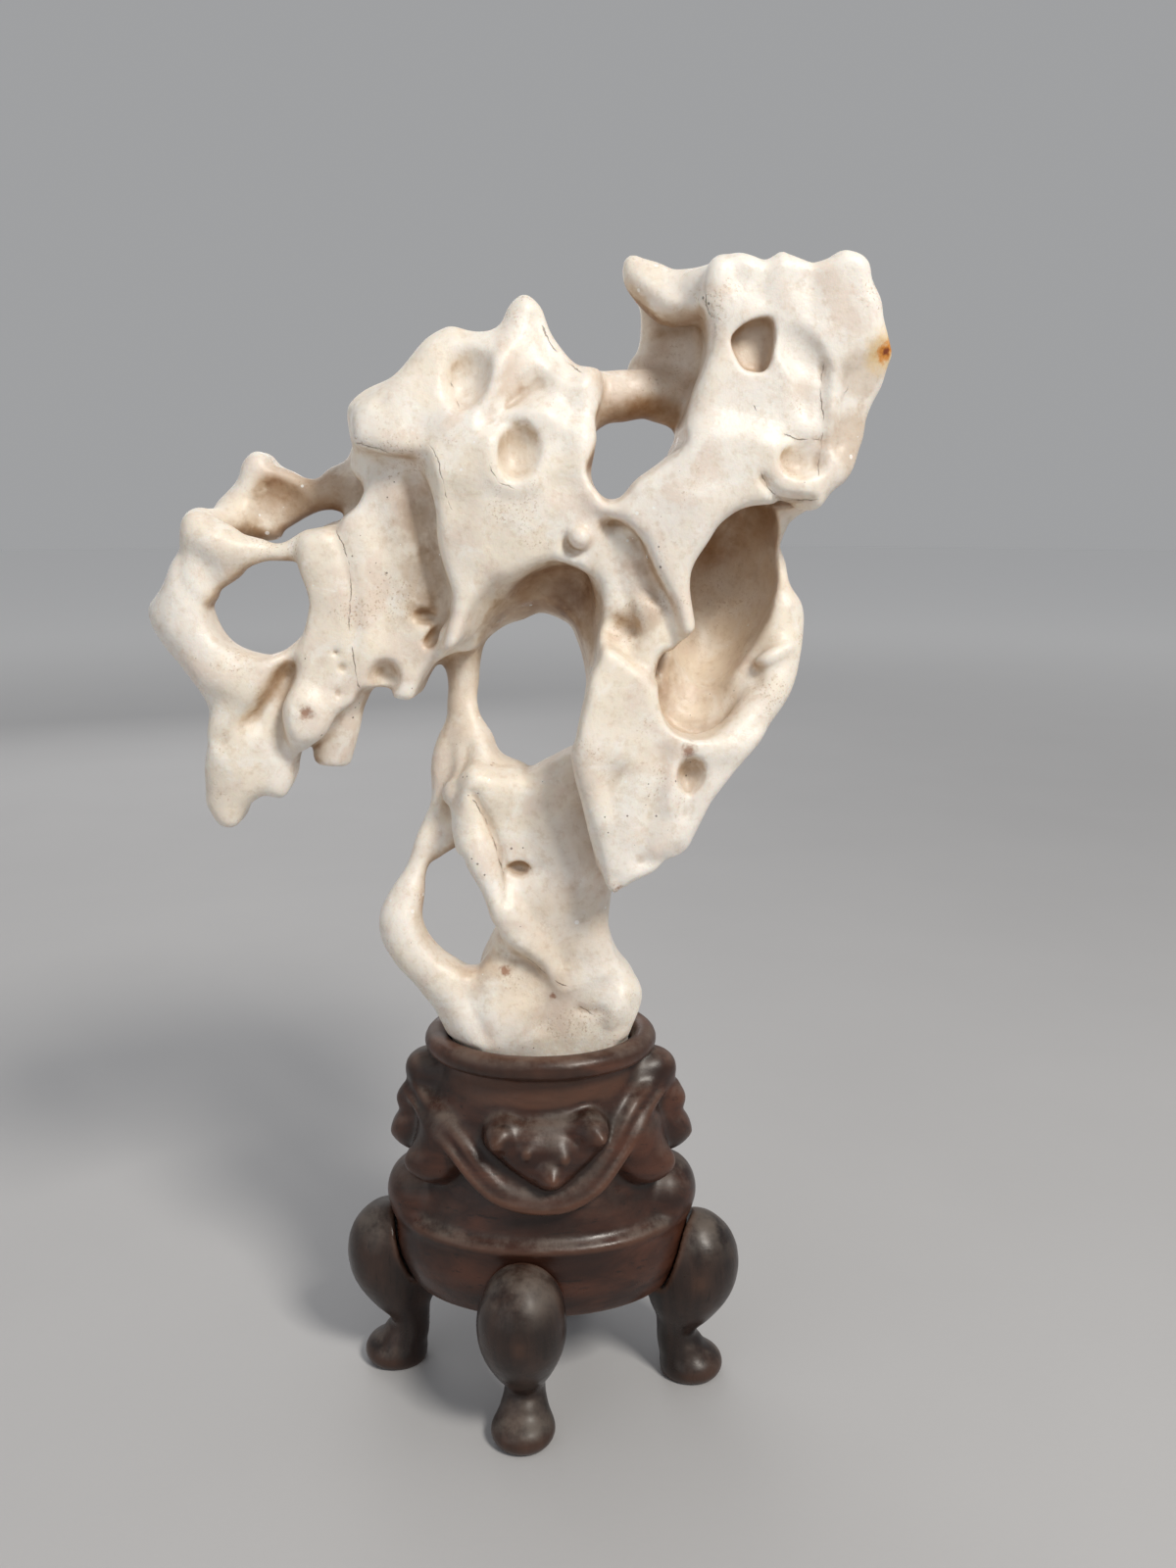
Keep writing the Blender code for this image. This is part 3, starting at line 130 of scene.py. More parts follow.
class Clay:
    """A block of space that masses are added to and hollows are cut from."""

    def __init__(self, low, high, step):
        self.step = step
        self.axes = [np.arange(a, b + step, step, dtype=np.float32) for a, b in zip(low, high)]
        self.field = np.full([len(axis) for axis in self.axes], FAR, np.float32)

    def window(self, low, high):
        """The part of the grid inside a box: its slices, and its x, y and z."""
        cut = tuple(
            slice(max(0, int((lo - axis[0]) / self.step)), max(0, int((hi - axis[0]) / self.step) + 2))
            for axis, lo, hi in zip(self.axes, low, high)
        )
        x, y, z = (axis[c] for axis, c in zip(self.axes, cut))
        return cut, x[:, None, None], y[None, :, None], z[None, None, :]

    def blend(self, cut, distance, soft, carve):
        """Joins a shape to the field, or takes it away, with a fillet of about soft mm."""
        sign = -1 if carve else 1
        old = sign * self.field[cut]
        share = np.maximum(soft - np.abs(old - distance), 0) / soft
        self.field[cut] = sign * (np.minimum(old, distance) - share * share * soft / 4)

    def limb(self, path, soft=4.0, carve=False, steps=4):
        """A round tapering limb through (x, y, z, radius)."""
        points = smooth_path(path, steps)
        reach = points[:, 3].max() + soft + 2 * self.step
        cut, x, y, z = self.window(points[:, :3].min(0) - reach, points[:, :3].max(0) + reach)
        distance = np.full(self.field[cut].shape, FAR, np.float32)
        for a, b in zip(points, points[1:]):
            d = b[:3] - a[:3]
            share = ((x - a[0]) * d[0] + (y - a[1]) * d[1] + (z - a[2]) * d[2]) / (d @ d + TINY)
            share = np.clip(share, 0, 1)
            away = np.sqrt(
                (x - a[0] - share * d[0]) ** 2
                + (y - a[1] - share * d[1]) ** 2
                + (z - a[2] - share * d[2]) ** 2
            )
            np.minimum(distance, away - a[3] - share * (b[3] - a[3]), out=distance)
        self.blend(cut, distance, soft, carve)

    def pebble(self, centre, radii, turn=(0, 0, 0), soft=4.0, carve=False):
        """An ellipsoid, turned by degrees about x, y and z."""
        reach = max(radii) + soft + 2 * self.step
        cut, x, y, z = self.window(np.subtract(centre, reach), np.add(centre, reach))
        m = np.array(Euler(np.radians(turn)).to_matrix())
        x, y, z = x - centre[0], y - centre[1], z - centre[2]
        local = [m[0, i] * x + m[1, i] * y + m[2, i] * z for i in range(3)]
        scaled = np.sqrt(sum((c / r) ** 2 for c, r in zip(local, radii)))
        slope = np.sqrt(sum((c / r**2) ** 2 for c, r in zip(local, radii)))
        self.blend(cut, scaled * (scaled - 1) / np.maximum(slope, TINY), soft, carve)

    def pit(self, centre, radii, turn=(0, 0, 0), soft=3.0):
        """A hollow of a pebble's shape."""
        self.pebble(centre, radii, turn, soft, carve=True)

    def plate(
        self, outline, front, back, edge=6.0, soft=4.0, lean=(0, 0), slant=(0, 0), flare=(0, 0), carve=False
    ):
        """A slab with the given outline in x and z, from y front to y back, its rim rounded
        by edge mm. Measured from its middle: lean tilts it, in mm of y for each mm of x and z;
        slant slides the outline in x and z, and flare widens it to front and back, for each mm of y."""
        rim = smooth_path(outline, 3, closed=True)
        middle = (rim.min(0) + rim.max(0)) / 2
        tilt = abs(lean[0]) * np.ptp(rim[:, 0]) / 2 + abs(lean[1]) * np.ptp(rim[:, 1]) / 2
        reach = soft + 2 * self.step + (max(flare) + max(np.abs(slant))) * (back - front) / 2
        low = (rim[:, 0].min() - reach, front - tilt - reach, rim[:, 1].min() - reach)
        high = (rim[:, 0].max() + reach, back + tilt + reach, rim[:, 1].max() + reach)
        cut, x, y, z = self.window(low, high)
        away = y - (front + back) / 2 - lean[0] * (x - middle[0]) - lean[1] * (z - middle[1])
        if slant[0] or slant[1]:
            across = outline_distance(rim, x - slant[0] * away, z - slant[1] * away)
        else:
            across = outline_distance(rim, x[:, 0, :], z[0, :, :])[:, None, :]
        across = across - np.where(away < 0, -flare[0], flare[1]) * away
        edge = min(edge, (back - front) / 2 - 0.01)
        a, b = across + edge, np.abs(away) - (back - front) / 2 + edge
        outside = np.sqrt(np.maximum(a, 0) ** 2 + np.maximum(b, 0) ** 2)
        distance = outside + np.minimum(np.maximum(a, b), 0) - edge
        self.blend(cut, distance, soft, carve)

    def turned(self, profile, soft=2.0, oval=OVAL, within=None, middle=0.0, carve=False):
        """An oval turning: profile is a closed outline of (half width, z). within keeps only
        what lies inside a closed outline of (degrees round the stand from middle, z); the
        stand's front is at 0 and its right at 90."""
        rim = np.asarray(profile, float)
        low, high = [axis[0] for axis in self.axes], [axis[-1] for axis in self.axes]
        low[2], high[2] = rim[:, 1].min() - soft - 3 * self.step, rim[:, 1].max() + soft + 3 * self.step
        cut, x, y, z = self.window(low, high)
        distance = outline_distance(rim, np.sqrt(x * x + (y / oval) ** 2), z)
        if within is not None:
            angle = np.degrees(np.arctan2(x, -y / oval)) - middle
            arc = (angle + 180) % 360 - 180
            border = smooth_path(within, 3, closed=True) * (DEGREE, 1)
            edge = outline_distance(border, arc * DEGREE, z)
            distance = np.maximum(distance, edge)
        self.blend(cut, distance, soft, carve)

    def keep_clear(self, other, gap):
        """Cuts this field back to gap mm from another, whose grid lies on this one's."""
        lows = [(float(theirs[0] - ours[0]), len(theirs)) for theirs, ours in zip(other.axes, self.axes)]
        cut = tuple(slice(round(low / self.step), round(low / self.step) + n) for low, n in lows)
        self.field[cut] = np.maximum(self.field[cut], gap - other.field)

    def scoop(self, point, facing, radius, soft=3.0):
        """Grinds a slightly hollow facet: takes a ball away that touches the point from outside."""
        facing = np.asarray(facing, float) / np.linalg.norm(facing)
        self.pit(np.add(point, facing * radius), (radius,) * 3, soft=soft)

    def shave(self, point, facing, reach=20.0, soft=3.0):
        """Cuts a flat facet: takes away what lies beyond a plane, within reach mm of the point."""
        facing = np.asarray(facing, float) / np.linalg.norm(facing)
        cut, x, y, z = self.window(np.subtract(point, reach + soft), np.add(point, reach + soft))
        x, y, z = x - point[0], y - point[1], z - point[2]
        under = -(x * facing[0] + y * facing[1] + z * facing[2])
        ball = np.sqrt(x * x + y * y + z * z) - reach
        self.blend(cut, np.maximum(under, ball), soft, True)

    def score(self, path, width, depth, sharp=1.5):
        """A groove along a path of (x, z), pressed depth mm into the front surface and width mm
        wide on each side, sharper as sharp grows; a negative depth raises a ridge."""
        front, back = SCORED
        points = smooth_path(path, 3)
        low = (points[:, 0].min() - width, front, points[:, 1].min() - width)
        high = (points[:, 0].max() + width, back, points[:, 1].max() + width)
        cut, x, y, z = self.window(low, high)
        gaps = [gap_squared(x[:, 0, :], z[0, :, :], a, b) for a, b in zip(points, points[1:])]
        amount = depth * np.maximum(1 - np.sqrt(np.minimum.reduce(gaps)) / width, 0) ** sharp
        inside = np.clip((back - y) / SCORE_FADE, 0, 1) * np.clip((y - front) / SCORE_FADE, 0, 1)
        self.field[cut] += amount[:, None, :] * inside

    def soften(self, rounds):
        """Averages the field with its neighbours, which rounds every edge a little."""
        for _ in range(rounds):
            for axis in range(3):
                inner = np.roll(self.field, 1, axis) + np.roll(self.field, -1, axis)
                self.field = 0.5 * self.field + 0.25 * inner

    def weather(self, wavelength, depth, seed):
        """Makes the surface uneven: swells and dips of the given size, the same each time."""
        dice = np.random.default_rng(seed)
        low = [axis[0] for axis in self.axes]
        places = [(axis - lo) / wavelength for axis, lo in zip(self.axes, low)]
        knots = dice.standard_normal([int(p[-1]) + 3 for p in places]).astype(np.float32)
        for axis, place in enumerate(places):
            whole = place.astype(int)
            share = place - whole
            share = (share * share * (3 - 2 * share)).astype(np.float32)
            shape = [1, 1, 1]
            shape[axis] = -1
            share = share.reshape(shape)
            knots = np.take(knots, whole, axis) * (1 - share) + np.take(knots, whole + 1, axis) * share
        self.field += depth * knots

    def mesh(self, name):
        """The field's surface as a mesh in metres, about the object's origin."""
        grid = openvdb.FloatGrid(FAR)
        grid.copyFromArray(np.clip(self.field, -3 * self.step, 3 * self.step))
        points, _, quads = grid.convertToPolygons()
        low = np.array([axis[0] for axis in self.axes])
        points = (points * self.step + low - ORIGIN) * MM
        mesh = bpy.data.meshes.new(name)
        mesh.from_pydata(points.tolist(), [], quads.tolist())
        mesh.validate()
        bm = bmesh.new()
        bm.from_mesh(mesh)
        bmesh.ops.recalc_face_normals(bm, faces=bm.faces)
        bm.to_mesh(mesh)
        bm.free()
        return mesh


# ---------------------------------------------------------------- the stone
def add_column(clay):
    """The foot in the stand's socket, the column above it and the ridge that twists up it."""
    clay.plate(
        [(-11, 118), (-16, 138), (-23, 150), (-23, 164), (-21, 173), (-14, 188), (-16, 195), (-18, 203),
         (-21, 211), (-24, 220), (-28, 228), (-30, 235), (-29, 243), (-25, 248), (-18, 248), (-9, 246),
         (-2, 245), (5, 248), (15, 253), (29, 250), (31, 228), (26, 208), (25, 195), (26, 184), (29, 175),
         (34, 166), (37, 160), (36, 150), (34, 141), (34, 118)],
        front=-18, back=17, edge=7, lean=(0.05, 0.0))
    clay.limb(
        [(-27, -8, 236, 7), (-24, -12, 228, 6.5), (-22, -16, 221, 6), (-20, -18, 212, 5.5),
         (-16, -19, 205, 5.5), (-13, -19, 198, 6), (-8, -18, 190, 6), (-1, -16, 181, 6), (6, -14, 172, 6)],
        soft=3)
    clay.pebble((28, -7, 159), (9, 11, 9.5), soft=4)
    clay.pebble((-13, -10, 150), (15, 12, 17), soft=6)
    clay.pebble((11, -8, 215), (16, 10, 30), (0, 14, 0), soft=8)
    clay.scoop((21, -21, 154), (0.1, -1, -0.2), 30, soft=1.5)
    clay.scoop((35, -13, 157), (0.85, -0.5, 0.1), 18, soft=1.5)
    clay.scoop((28, -18, 174), (0.5, -0.8, 0.4), 22, soft=2)


def add_handle(clay):
    """The slender limb that leaves the foot, bends at an elbow and climbs to the pillar beside the cave."""
    clay.limb(
        [(-28, 10, 294, 9.5), (-27, 9, 284, 7), (-27, 7, 274, 5.5), (-27, 6, 267, 6), (-25, 4, 260, 7),
         (-23, 2, 253, 9), (-19, 1, 244, 13)])
    clay.limb(
        [(-27, 5, 262, 4), (-31, 4, 253, 5.5), (-33, 3, 244, 6), (-34, 2, 236, 5), (-36, 1, 230, 4),
         (-40, 0, 222, 3.5), (-43, -2, 214, 3.5), (-45, -4, 207, 4.5), (-49, -7, 196, 6), (-50, -9, 188, 8),
         (-46, -10, 179, 8.5), (-39, -10, 171, 9), (-30, -9, 162, 11), (-20, -7, 150, 15)], soft=3)
    clay.limb([(-23, 5, 238, 9), (-29, 4, 228, 8), (-33, 2, 220, 6.5), (-38, 0, 214, 4)])


def add_right_body(clay):
    """The right half: the sheet behind the big bowl, and the boulder below it."""
    clay.plate(
        [(10, 317), (12, 289), (15, 267), (21, 240), (28, 215), (40, 212), (52, 218), (59, 229), (69, 243),
         (81, 260), (84, 271), (89, 283), (93, 290), (93, 300), (91, 306), (86, 311), (83, 319), (84, 324),
         (87, 332), (95, 341), (68, 352), (45, 346), (22, 330)], front=-16, back=26, edge=9)
    clay.plate(
        [(22, 293), (20, 287), (17, 279), (16, 271), (15, 262), (17, 251), (19, 242), (21, 232), (22, 222),
         (23, 214), (25, 209), (28, 207), (33, 211), (40, 215), (45, 219), (51, 222), (55, 228), (58, 233),
         (62, 240), (68, 247), (74, 256), (77, 263), (71, 261), (58, 259), (48, 262), (42, 271), (40, 281),
         (33, 287), (27, 292)], front=-36, back=6, edge=4, lean=(0.12, -0.02))
    clay.limb(
        [(24, -28, 294, 3), (21, -31, 291, 3.5), (18, -33, 283, 4), (17, -34, 272, 4), (17, -35, 259, 4),
         (19, -34, 245, 4), (22, -32, 230, 4), (25, -28, 217, 3.5)], soft=5)
    clay.limb(
        [(40, -28, 281, 4.5), (43, -31, 271, 5.5), (49, -31, 263, 6.5), (59, -28, 259, 7),
         (69, -25, 262, 7), (77, -21, 270, 6.5), (82, -17, 278, 7), (85, -14, 288, 7), (85, -11, 298, 7.5),
         (83, -8, 307, 6), (81, -3, 317, 6)], soft=5)
    clay.scoop((88, -18, 298), (0.45, -0.85, 0.15), 25, soft=2)


def add_head(clay):
    """The block at the top right, with the diagonal limb below it that ends in a fang."""
    clay.plate(
        [(55, 402), (56, 411), (59, 415), (62, 416), (66, 416), (73, 415), (77, 416), (79, 417), (81, 416),
         (87, 415), (93, 415), (96, 416), (99, 417), (104, 416), (107, 413), (108, 408), (111, 402),
         (112, 397), (113, 393), (114, 390), (116, 386), (115, 383), (114, 380), (113, 375), (111, 370),
         (109, 365), (108, 360), (106, 355), (104, 350), (101, 346), (96, 343), (91, 340), (84, 340),
         (71, 341), (57, 338), (45, 342), (47, 357), (50, 364), (53, 373), (55, 380), (57, 386), (57, 395)],
        front=-34, back=24, edge=5)
    clay.plate(
        [(23, 338), (29, 341), (33, 346), (38, 349), (44, 353), (48, 358), (59, 362), (74, 360), (87, 351),
         (92, 339), (84, 340), (79, 340), (75, 339), (68, 337), (61, 333), (57, 328), (53, 322), (51, 317),
         (51, 311), (52, 305), (53, 299), (53, 295), (49, 295), (47, 304), (43, 312), (39, 320), (35, 327),
         (31, 332), (25, 334)], front=-37, back=-17, edge=4, soft=8)
    clay.plate(
        [(14, 328), (18, 319), (21, 312), (22, 301), (22, 291), (29, 285), (40, 278), (42, 282), (47, 290),
         (51, 294), (49, 307), (42, 321), (33, 331), (22, 333)], front=-30, back=12, edge=6)
    clay.plate(
        [(33, 410), (35, 406), (36, 400), (36, 395), (35, 390), (32, 386), (32, 381), (37, 375), (45, 366),
         (50, 359), (58, 375), (63, 393), (61, 407), (49, 414)], front=2, back=24, edge=6)
    clay.plate(
        [(31, 399), (41, 398), (49, 399), (54, 402), (57, 396), (58, 389), (56, 380), (53, 373), (49, 362),
         (46, 357), (41, 357), (32, 363), (23, 368), (21, 383), (29, 392)],
        front=-60, back=3, edge=5, soft=1.0, carve=True)
    clay.limb(
        [(33, -5, 416, 2.5), (35, -5, 413, 4.5), (39, -5, 410, 6.5), (45, -6, 406, 8), (52, -8, 406, 8),
         (58, -13, 407, 7.5)], soft=3)
    clay.limb(
        [(12, -6, 369, 9), (22, -4, 373, 7), (29, -3, 374, 7), (38, 0, 375, 7), (45, 6, 374, 9),
         (52, 12, 374, 11)])


def add_hat(clay):
    """The middle mass: a plate with a peak, lobes and a long overhanging left edge."""
    clay.plate(
        [(-61, 370), (-59, 373), (-55, 376), (-46, 380), (-38, 387), (-33, 392), (-28, 395), (-26, 395),
         (-23, 394), (-18, 393), (-13, 394), (-10, 397), (-8, 401), (-5, 404), (-2, 405), (1, 403),
         (4, 399), (6, 392), (10, 386), (14, 382), (17, 380), (20, 379), (18, 373), (17, 366), (18, 359),
         (18, 350), (19, 345), (22, 341), (29, 336), (31, 320), (27, 300), (5, 294), (-12, 292), (-25, 290),
         (-32, 300), (-31, 330), (-35, 350), (-40, 353), (-51, 356), (-58, 358), (-60, 362), (-61, 367)],
        front=-22, back=18, edge=5)
    clay.plate(
        [(-59, 363), (-58, 369), (-52, 374), (-44, 379), (-35, 389), (-30, 392), (-25, 393), (-21, 392),
         (-14, 392), (-9, 395), (-7, 400), (-3, 403), (1, 401), (3, 395), (7, 387), (12, 380), (19, 379),
         (18, 368), (17, 354), (8, 346), (-12, 346), (-29, 346), (-33, 354), (-42, 355), (-52, 356),
         (-58, 358)], front=-28, back=-8, edge=5, lean=(0.0, 0.24), soft=5)
    clay.plate(
        [(-33, 358), (-28, 368), (-18, 370), (0, 371), (15, 364), (18, 355), (18, 349), (19, 345),
         (22, 341), (25, 338), (23, 333), (20, 324), (18, 317), (12, 318), (6, 319), (0, 317), (-5, 313),
         (-9, 309), (-12, 305), (-16, 300), (-21, 295), (-26, 291), (-30, 290), (-31, 291), (-29, 299),
         (-27, 307), (-28, 314), (-29, 322), (-30, 330), (-31, 337), (-31, 347)],
        front=-33, back=-6, edge=5, soft=6)
    clay.pebble((-15, -23, 339), (22, 12, 26), (0, -20, 0), soft=8)
    clay.limb(
        [(-4, -15, 398, 3.5), (-5, -20, 392, 4), (-8, -24, 386, 4), (-12, -27, 380, 3.5),
         (-14, -28, 375, 3), (-17, -27, 370, 3)], soft=3)
    clay.limb(
        [(18, -19, 376, 2.5), (18, -23, 371, 3), (17, -27, 363, 3), (18, -30, 353, 3.5),
         (22, -30, 342, 4.5)], soft=5)


def add_left_panel(clay):
    """The thin panel set back to the left of the middle mass, with its notch and tooth."""
    clay.plate(
        [(-70, 331), (-64, 333), (-60, 337), (-57, 342), (-53, 348), (-46, 350), (-38, 350), (-28, 345),
         (-22, 329), (-22, 304), (-29, 290), (-35, 285), (-40, 278), (-42, 274), (-44, 272), (-50, 273),
         (-50, 275), (-53, 276), (-56, 276), (-60, 276), (-62, 274), (-64, 271), (-69, 270), (-77, 274),
         (-79, 288), (-80, 309), (-79, 324), (-75, 329)], front=-21, back=8, edge=3)


def add_ring(clay):
    """The loop at the far left with its knobs, and the fingers that hang below."""
    clay.limb(
        [(-113, -15, 328, 7), (-108, -15, 325, 8), (-101, -16, 323, 5.5), (-92, -15, 323, 3),
         (-85, -15, 323, 3.5), (-78, -14, 325, 5), (-71, -14, 326, 6)], soft=3)
    clay.limb(
        [(-115, -14, 332, 4), (-114, -14, 324, 6.5), (-117, -13, 315, 9), (-119, -12, 306, 10.5),
         (-120, -12, 298, 11), (-115, -12, 289, 11), (-108, -12, 282, 12), (-100, -11, 278, 12.5)], soft=3)
    clay.limb([(-119, -12, 306, 9), (-124, -11, 303, 8.5), (-129, -10, 303, 5.5)], soft=4)
    clay.limb([(-110, -18, 327, 4.5), (-115, -16, 332, 3.5)], soft=2)
    clay.pebble((-107, -14, 317), (7, 5, 7), soft=4)
    clay.plate(
        [(-78, 326), (-73, 331), (-68, 331), (-59, 334), (-54, 324), (-55, 302), (-57, 288), (-61, 279),
         (-68, 270), (-74, 262), (-83, 256), (-87, 262), (-88, 272), (-84, 282), (-79, 293), (-73, 302),
         (-73, 312), (-77, 319)], front=-22, back=2, edge=4, soft=6, lean=(0.06, 0.0))
    clay.pebble((-80, -22, 268), (8.5, 6.5, 10), (0, -12, 0), soft=5)
    clay.scoop((-77, -27, 268), (0.1, -1, -0.2), 26, soft=1)
    clay.plate(
        [(-117, 285), (-116, 277), (-115, 269), (-114, 261), (-115, 253), (-116, 244), (-117, 236),
         (-115, 231), (-112, 227), (-108, 227), (-106, 230), (-104, 234), (-101, 237), (-96, 239),
         (-91, 238), (-89, 240), (-87, 244), (-86, 250), (-84, 254), (-80, 257), (-73, 270), (-72, 285),
         (-81, 293), (-92, 286), (-102, 288), (-108, 293)], front=-19, back=2, edge=5)
    clay.limb([(-104, -15, 259, 8), (-107, -15, 250, 8), (-108, -12, 241, 6)], soft=5)
    clay.limb(
        [(-90, -18, 287, 4), (-99, -19, 275, 4.5), (-108, -18, 265, 4), (-111, -18, 261, 2.5)], soft=5)
    clay.limb([(-65, -6, 282, 7), (-69, -4, 270, 7), (-71, -3, 260, 7), (-74, -2, 250, 7)])
    clay.shave((-73, -2, 246), (-0.12, 0, -1), reach=10, soft=1)
    clay.plate(
        [(-99, 357), (-95, 356), (-92, 352), (-87, 350), (-83, 348), (-77, 347), (-72, 348), (-68, 350),
         (-66, 352), (-64, 360), (-54, 358), (-54, 339), (-67, 333), (-70, 335), (-73, 335), (-77, 335),
         (-83, 333), (-89, 329), (-92, 326), (-99, 325), (-107, 326), (-114, 331), (-114, 335), (-111, 340),
         (-107, 345), (-105, 348), (-104, 352), (-102, 355)], front=3, back=23, edge=6)
    clay.limb([(-70, 10, 345, 7), (-55, 8, 350, 7.5), (-40, 4, 354, 8.5)])
    clay.limb([(-104, 9, 334, 7.5), (-109, 0, 331, 6), (-114, -10, 331, 5.5)])


def carve_cave(clay):
    """The cave in the middle: a vault that opens to the front and narrows to the hole behind."""
    hole = [(0, 299), (4, 298), (9, 295), (13, 289), (15, 284), (16, 279), (16, 275), (13, 268), (11, 262),
            (7, 256), (2, 250), (0, 247), (-3, 244), (-5, 246), (-10, 248), (-14, 251), (-16, 255),
            (-18, 261), (-20, 266), (-20, 275), (-20, 281), (-18, 287), (-15, 291), (-10, 295), (-5, 297)]
    clay.plate(hole, front=-54, back=66, edge=3, soft=4, flare=(0.03, 0.35), carve=True)
    clay.plate(hole, front=-54, back=66, edge=3, soft=4, slant=(0.0, -0.36), flare=(0.12, -0.4), carve=True)
    clay.plate(
        [(-26, 291), (-20, 296), (-12, 304), (-6, 311), (0, 316), (6, 318), (13, 318), (17, 316), (19, 310),
         (20, 302), (20, 291), (19, 287), (17, 279), (15, 269), (14, 260), (6, 255), (-13, 256), (-26, 262),
         (-31, 272), (-31, 287)], front=-60, back=-10, edge=8, soft=2.5, carve=True)


def carve_holes(clay):
    """The other holes that go right through."""
    clay.plate(
        [(48, 359), (46, 363), (41, 365), (36, 366), (30, 364), (25, 360), (22, 355), (20, 350), (21, 346),
         (23, 343), (25, 341), (28, 343), (32, 347), (37, 351), (44, 355)],
        front=-60, back=60, edge=2, soft=3, flare=(0.05, 0.3), carve=True)
    clay.plate(
        [(-110, 304), (-107, 308), (-103, 312), (-98, 315), (-91, 317), (-84, 317), (-81, 315), (-79, 311),
         (-78, 305), (-80, 298), (-83, 294), (-87, 290), (-94, 288), (-101, 290), (-106, 293), (-109, 297),
         (-110, 301)], front=-51, back=33, edge=2, soft=2, flare=(0.14, 0.4), carve=True)
    clay.plate(
        [(-26, 217), (-30, 216), (-35, 212), (-40, 207), (-42, 202), (-43, 196), (-43, 190), (-41, 184),
         (-36, 178), (-31, 175), (-27, 172), (-25, 174), (-22, 180), (-17, 187), (-15, 189), (-17, 193),
         (-18, 199), (-21, 206), (-24, 212)],
        front=-40, back=32, edge=2, soft=3, flare=(0.04, 0.1), carve=True)
    clay.plate(
        [(-89, 328), (-86, 330), (-81, 332), (-74, 335), (-71, 335), (-68, 334), (-70, 333), (-75, 332),
         (-79, 332), (-83, 330), (-87, 328)],
        front=-40, back=48, edge=1, soft=3, flare=(0.1, 0.25), carve=True)


def carve_right(clay):
    """The bowl, the boulder and what lies beside the fang."""
    clay.pit((57, -30, 281), (15, 24, 18.5), (0, 10, 0), soft=2)
    clay.pit((65, -12, 310), (17, 25, 36), (0, 12, 0))
    clay.pebble((36, -21, 326), (6, 6, 7), soft=4)
    clay.plate(
        [(33, 307), (42, 308), (51, 300), (51, 295), (43, 288), (41, 282), (37, 282), (34, 292)],
        front=-33, back=-20, edge=4, soft=4)
    clay.limb([(76, -21, 285, 1.5), (81, -22, 288, 2.5), (87, -20, 291, 2)], soft=2)
    clay.pit((74, -24, 282), (4, 6, 5), soft=2.5)
    clay.score([(34, 326), (37, 316), (42, 305), (46, 296)], 6, 2.2, sharp=1.3)
    clay.score([(26, 331), (28, 318), (31, 307), (34, 297)], 8, 1.5)
    clay.pit((29, -31, 298), (5.5, 5, 4), (0, 20, 0))
    clay.score([(44, 289), (42, 286), (41, 282)], 3, 2.5, sharp=1)
    clay.pit((53, -36, 249), (5, 6.5, 5.6), (-25, 12, 0), soft=1.2)
    clay.score([(52, 247), (52, 242), (51, 236)], 6, 2.0)
    clay.score([(44, 254), (41, 243), (38, 231), (37, 223)], 7, 1.6)
    clay.score([(47, 255), (46, 246), (46, 238)], 5, -1.2)
    clay.score([(36, 219), (42, 219), (48, 223)], 5, 2.2)
    clay.score([(28, 250), (26, 244), (26, 238)], 7, 1.4)
    clay.score([(27, 214), (29, 209)], 2.5, 1.0, sharp=1)


def carve_column(clay):
    """The column's groove, pit and hollows, and the folds of its foot."""
    clay.pit((-7, -19, 212), (3.8, 5, 2.6), (0, -6, 0), soft=1)
    clay.score([(-8, 210), (-4, 209), (1, 212)], 5.5, 1.8, sharp=1.3)
    clay.score([(-22, 239), (-19, 233), (-16, 226), (-13, 218), (-12, 208), (-11, 201)], 2.6, 1.9, sharp=1)
    clay.score([(-6, 185), (1, 179), (5, 172), (6, 167)], 6, -1.4)
    clay.score([(-14, 176), (-6, 176), (0, 174)], 10, 2.4, sharp=1.6)
    clay.score([(10, 176), (5, 165), (1, 153)], 7, 1.6)
    clay.score([(9, 166), (15, 168), (23, 172), (32, 171)], 5, -0.9)
    clay.score([(15, 158), (19, 157), (23, 158)], 2.5, 1.0, sharp=1)
    clay.score([(26, 152), (28, 159), (31, 165)], 4, -1.2)
    clay.score([(-25, 253), (-26, 245), (-29, 237), (-33, 229)], 4.5, 1.8, sharp=1.4)
    clay.score([(-27, 167), (-24, 159), (-19, 149)], 6, 1.5)


def carve_head(clay):
    """The head's polygonal pit, hollows, ledges and flutes."""
    clay.plate(
        [(63, 390), (65, 393), (68, 395), (73, 396), (76, 395), (77, 389), (76, 383), (74, 380), (70, 380),
         (67, 381), (64, 386)], front=-50, back=-26, edge=2, soft=1, lean=(0.06, 0.06), carve=True)
    clay.pit((85, -38, 386), (8, 7.5, 14), (0, -38, 16), soft=1.2)
    clay.pit((88, -38, 375), (7, 6.5, 14), (0, -8, 0), soft=2)
    clay.pit((87, -38, 353), (8.5, 6.5, 6.5), (0, 0, 0), soft=1.2)
    clay.scoop((102, -31, 367), (0.55, -0.83, -0.05), 60, soft=2)
    clay.score([(100, 379), (99, 372), (99, 365), (98, 357)], 4.5, 1.8)
    clay.score([(93, 381), (93, 373), (93, 361), (92, 350)], 3, 1.2, sharp=1)
    clay.score([(82, 360), (88, 358), (93, 359)], 2.5, 0.9, sharp=1)
    clay.score([(74, 347), (77, 343), (82, 340), (90, 340)], 2.4, 2.4, sharp=1)
    clay.score([(62, 416), (65, 407)], 5, 0.9)
    clay.score([(74, 416), (73, 402)], 5, 0.8)
    clay.score([(89, 414), (88, 398)], 9, 1.5)
    clay.score([(35, 411), (41, 406), (45, 403), (52, 401)], 4, -1.0, sharp=1)


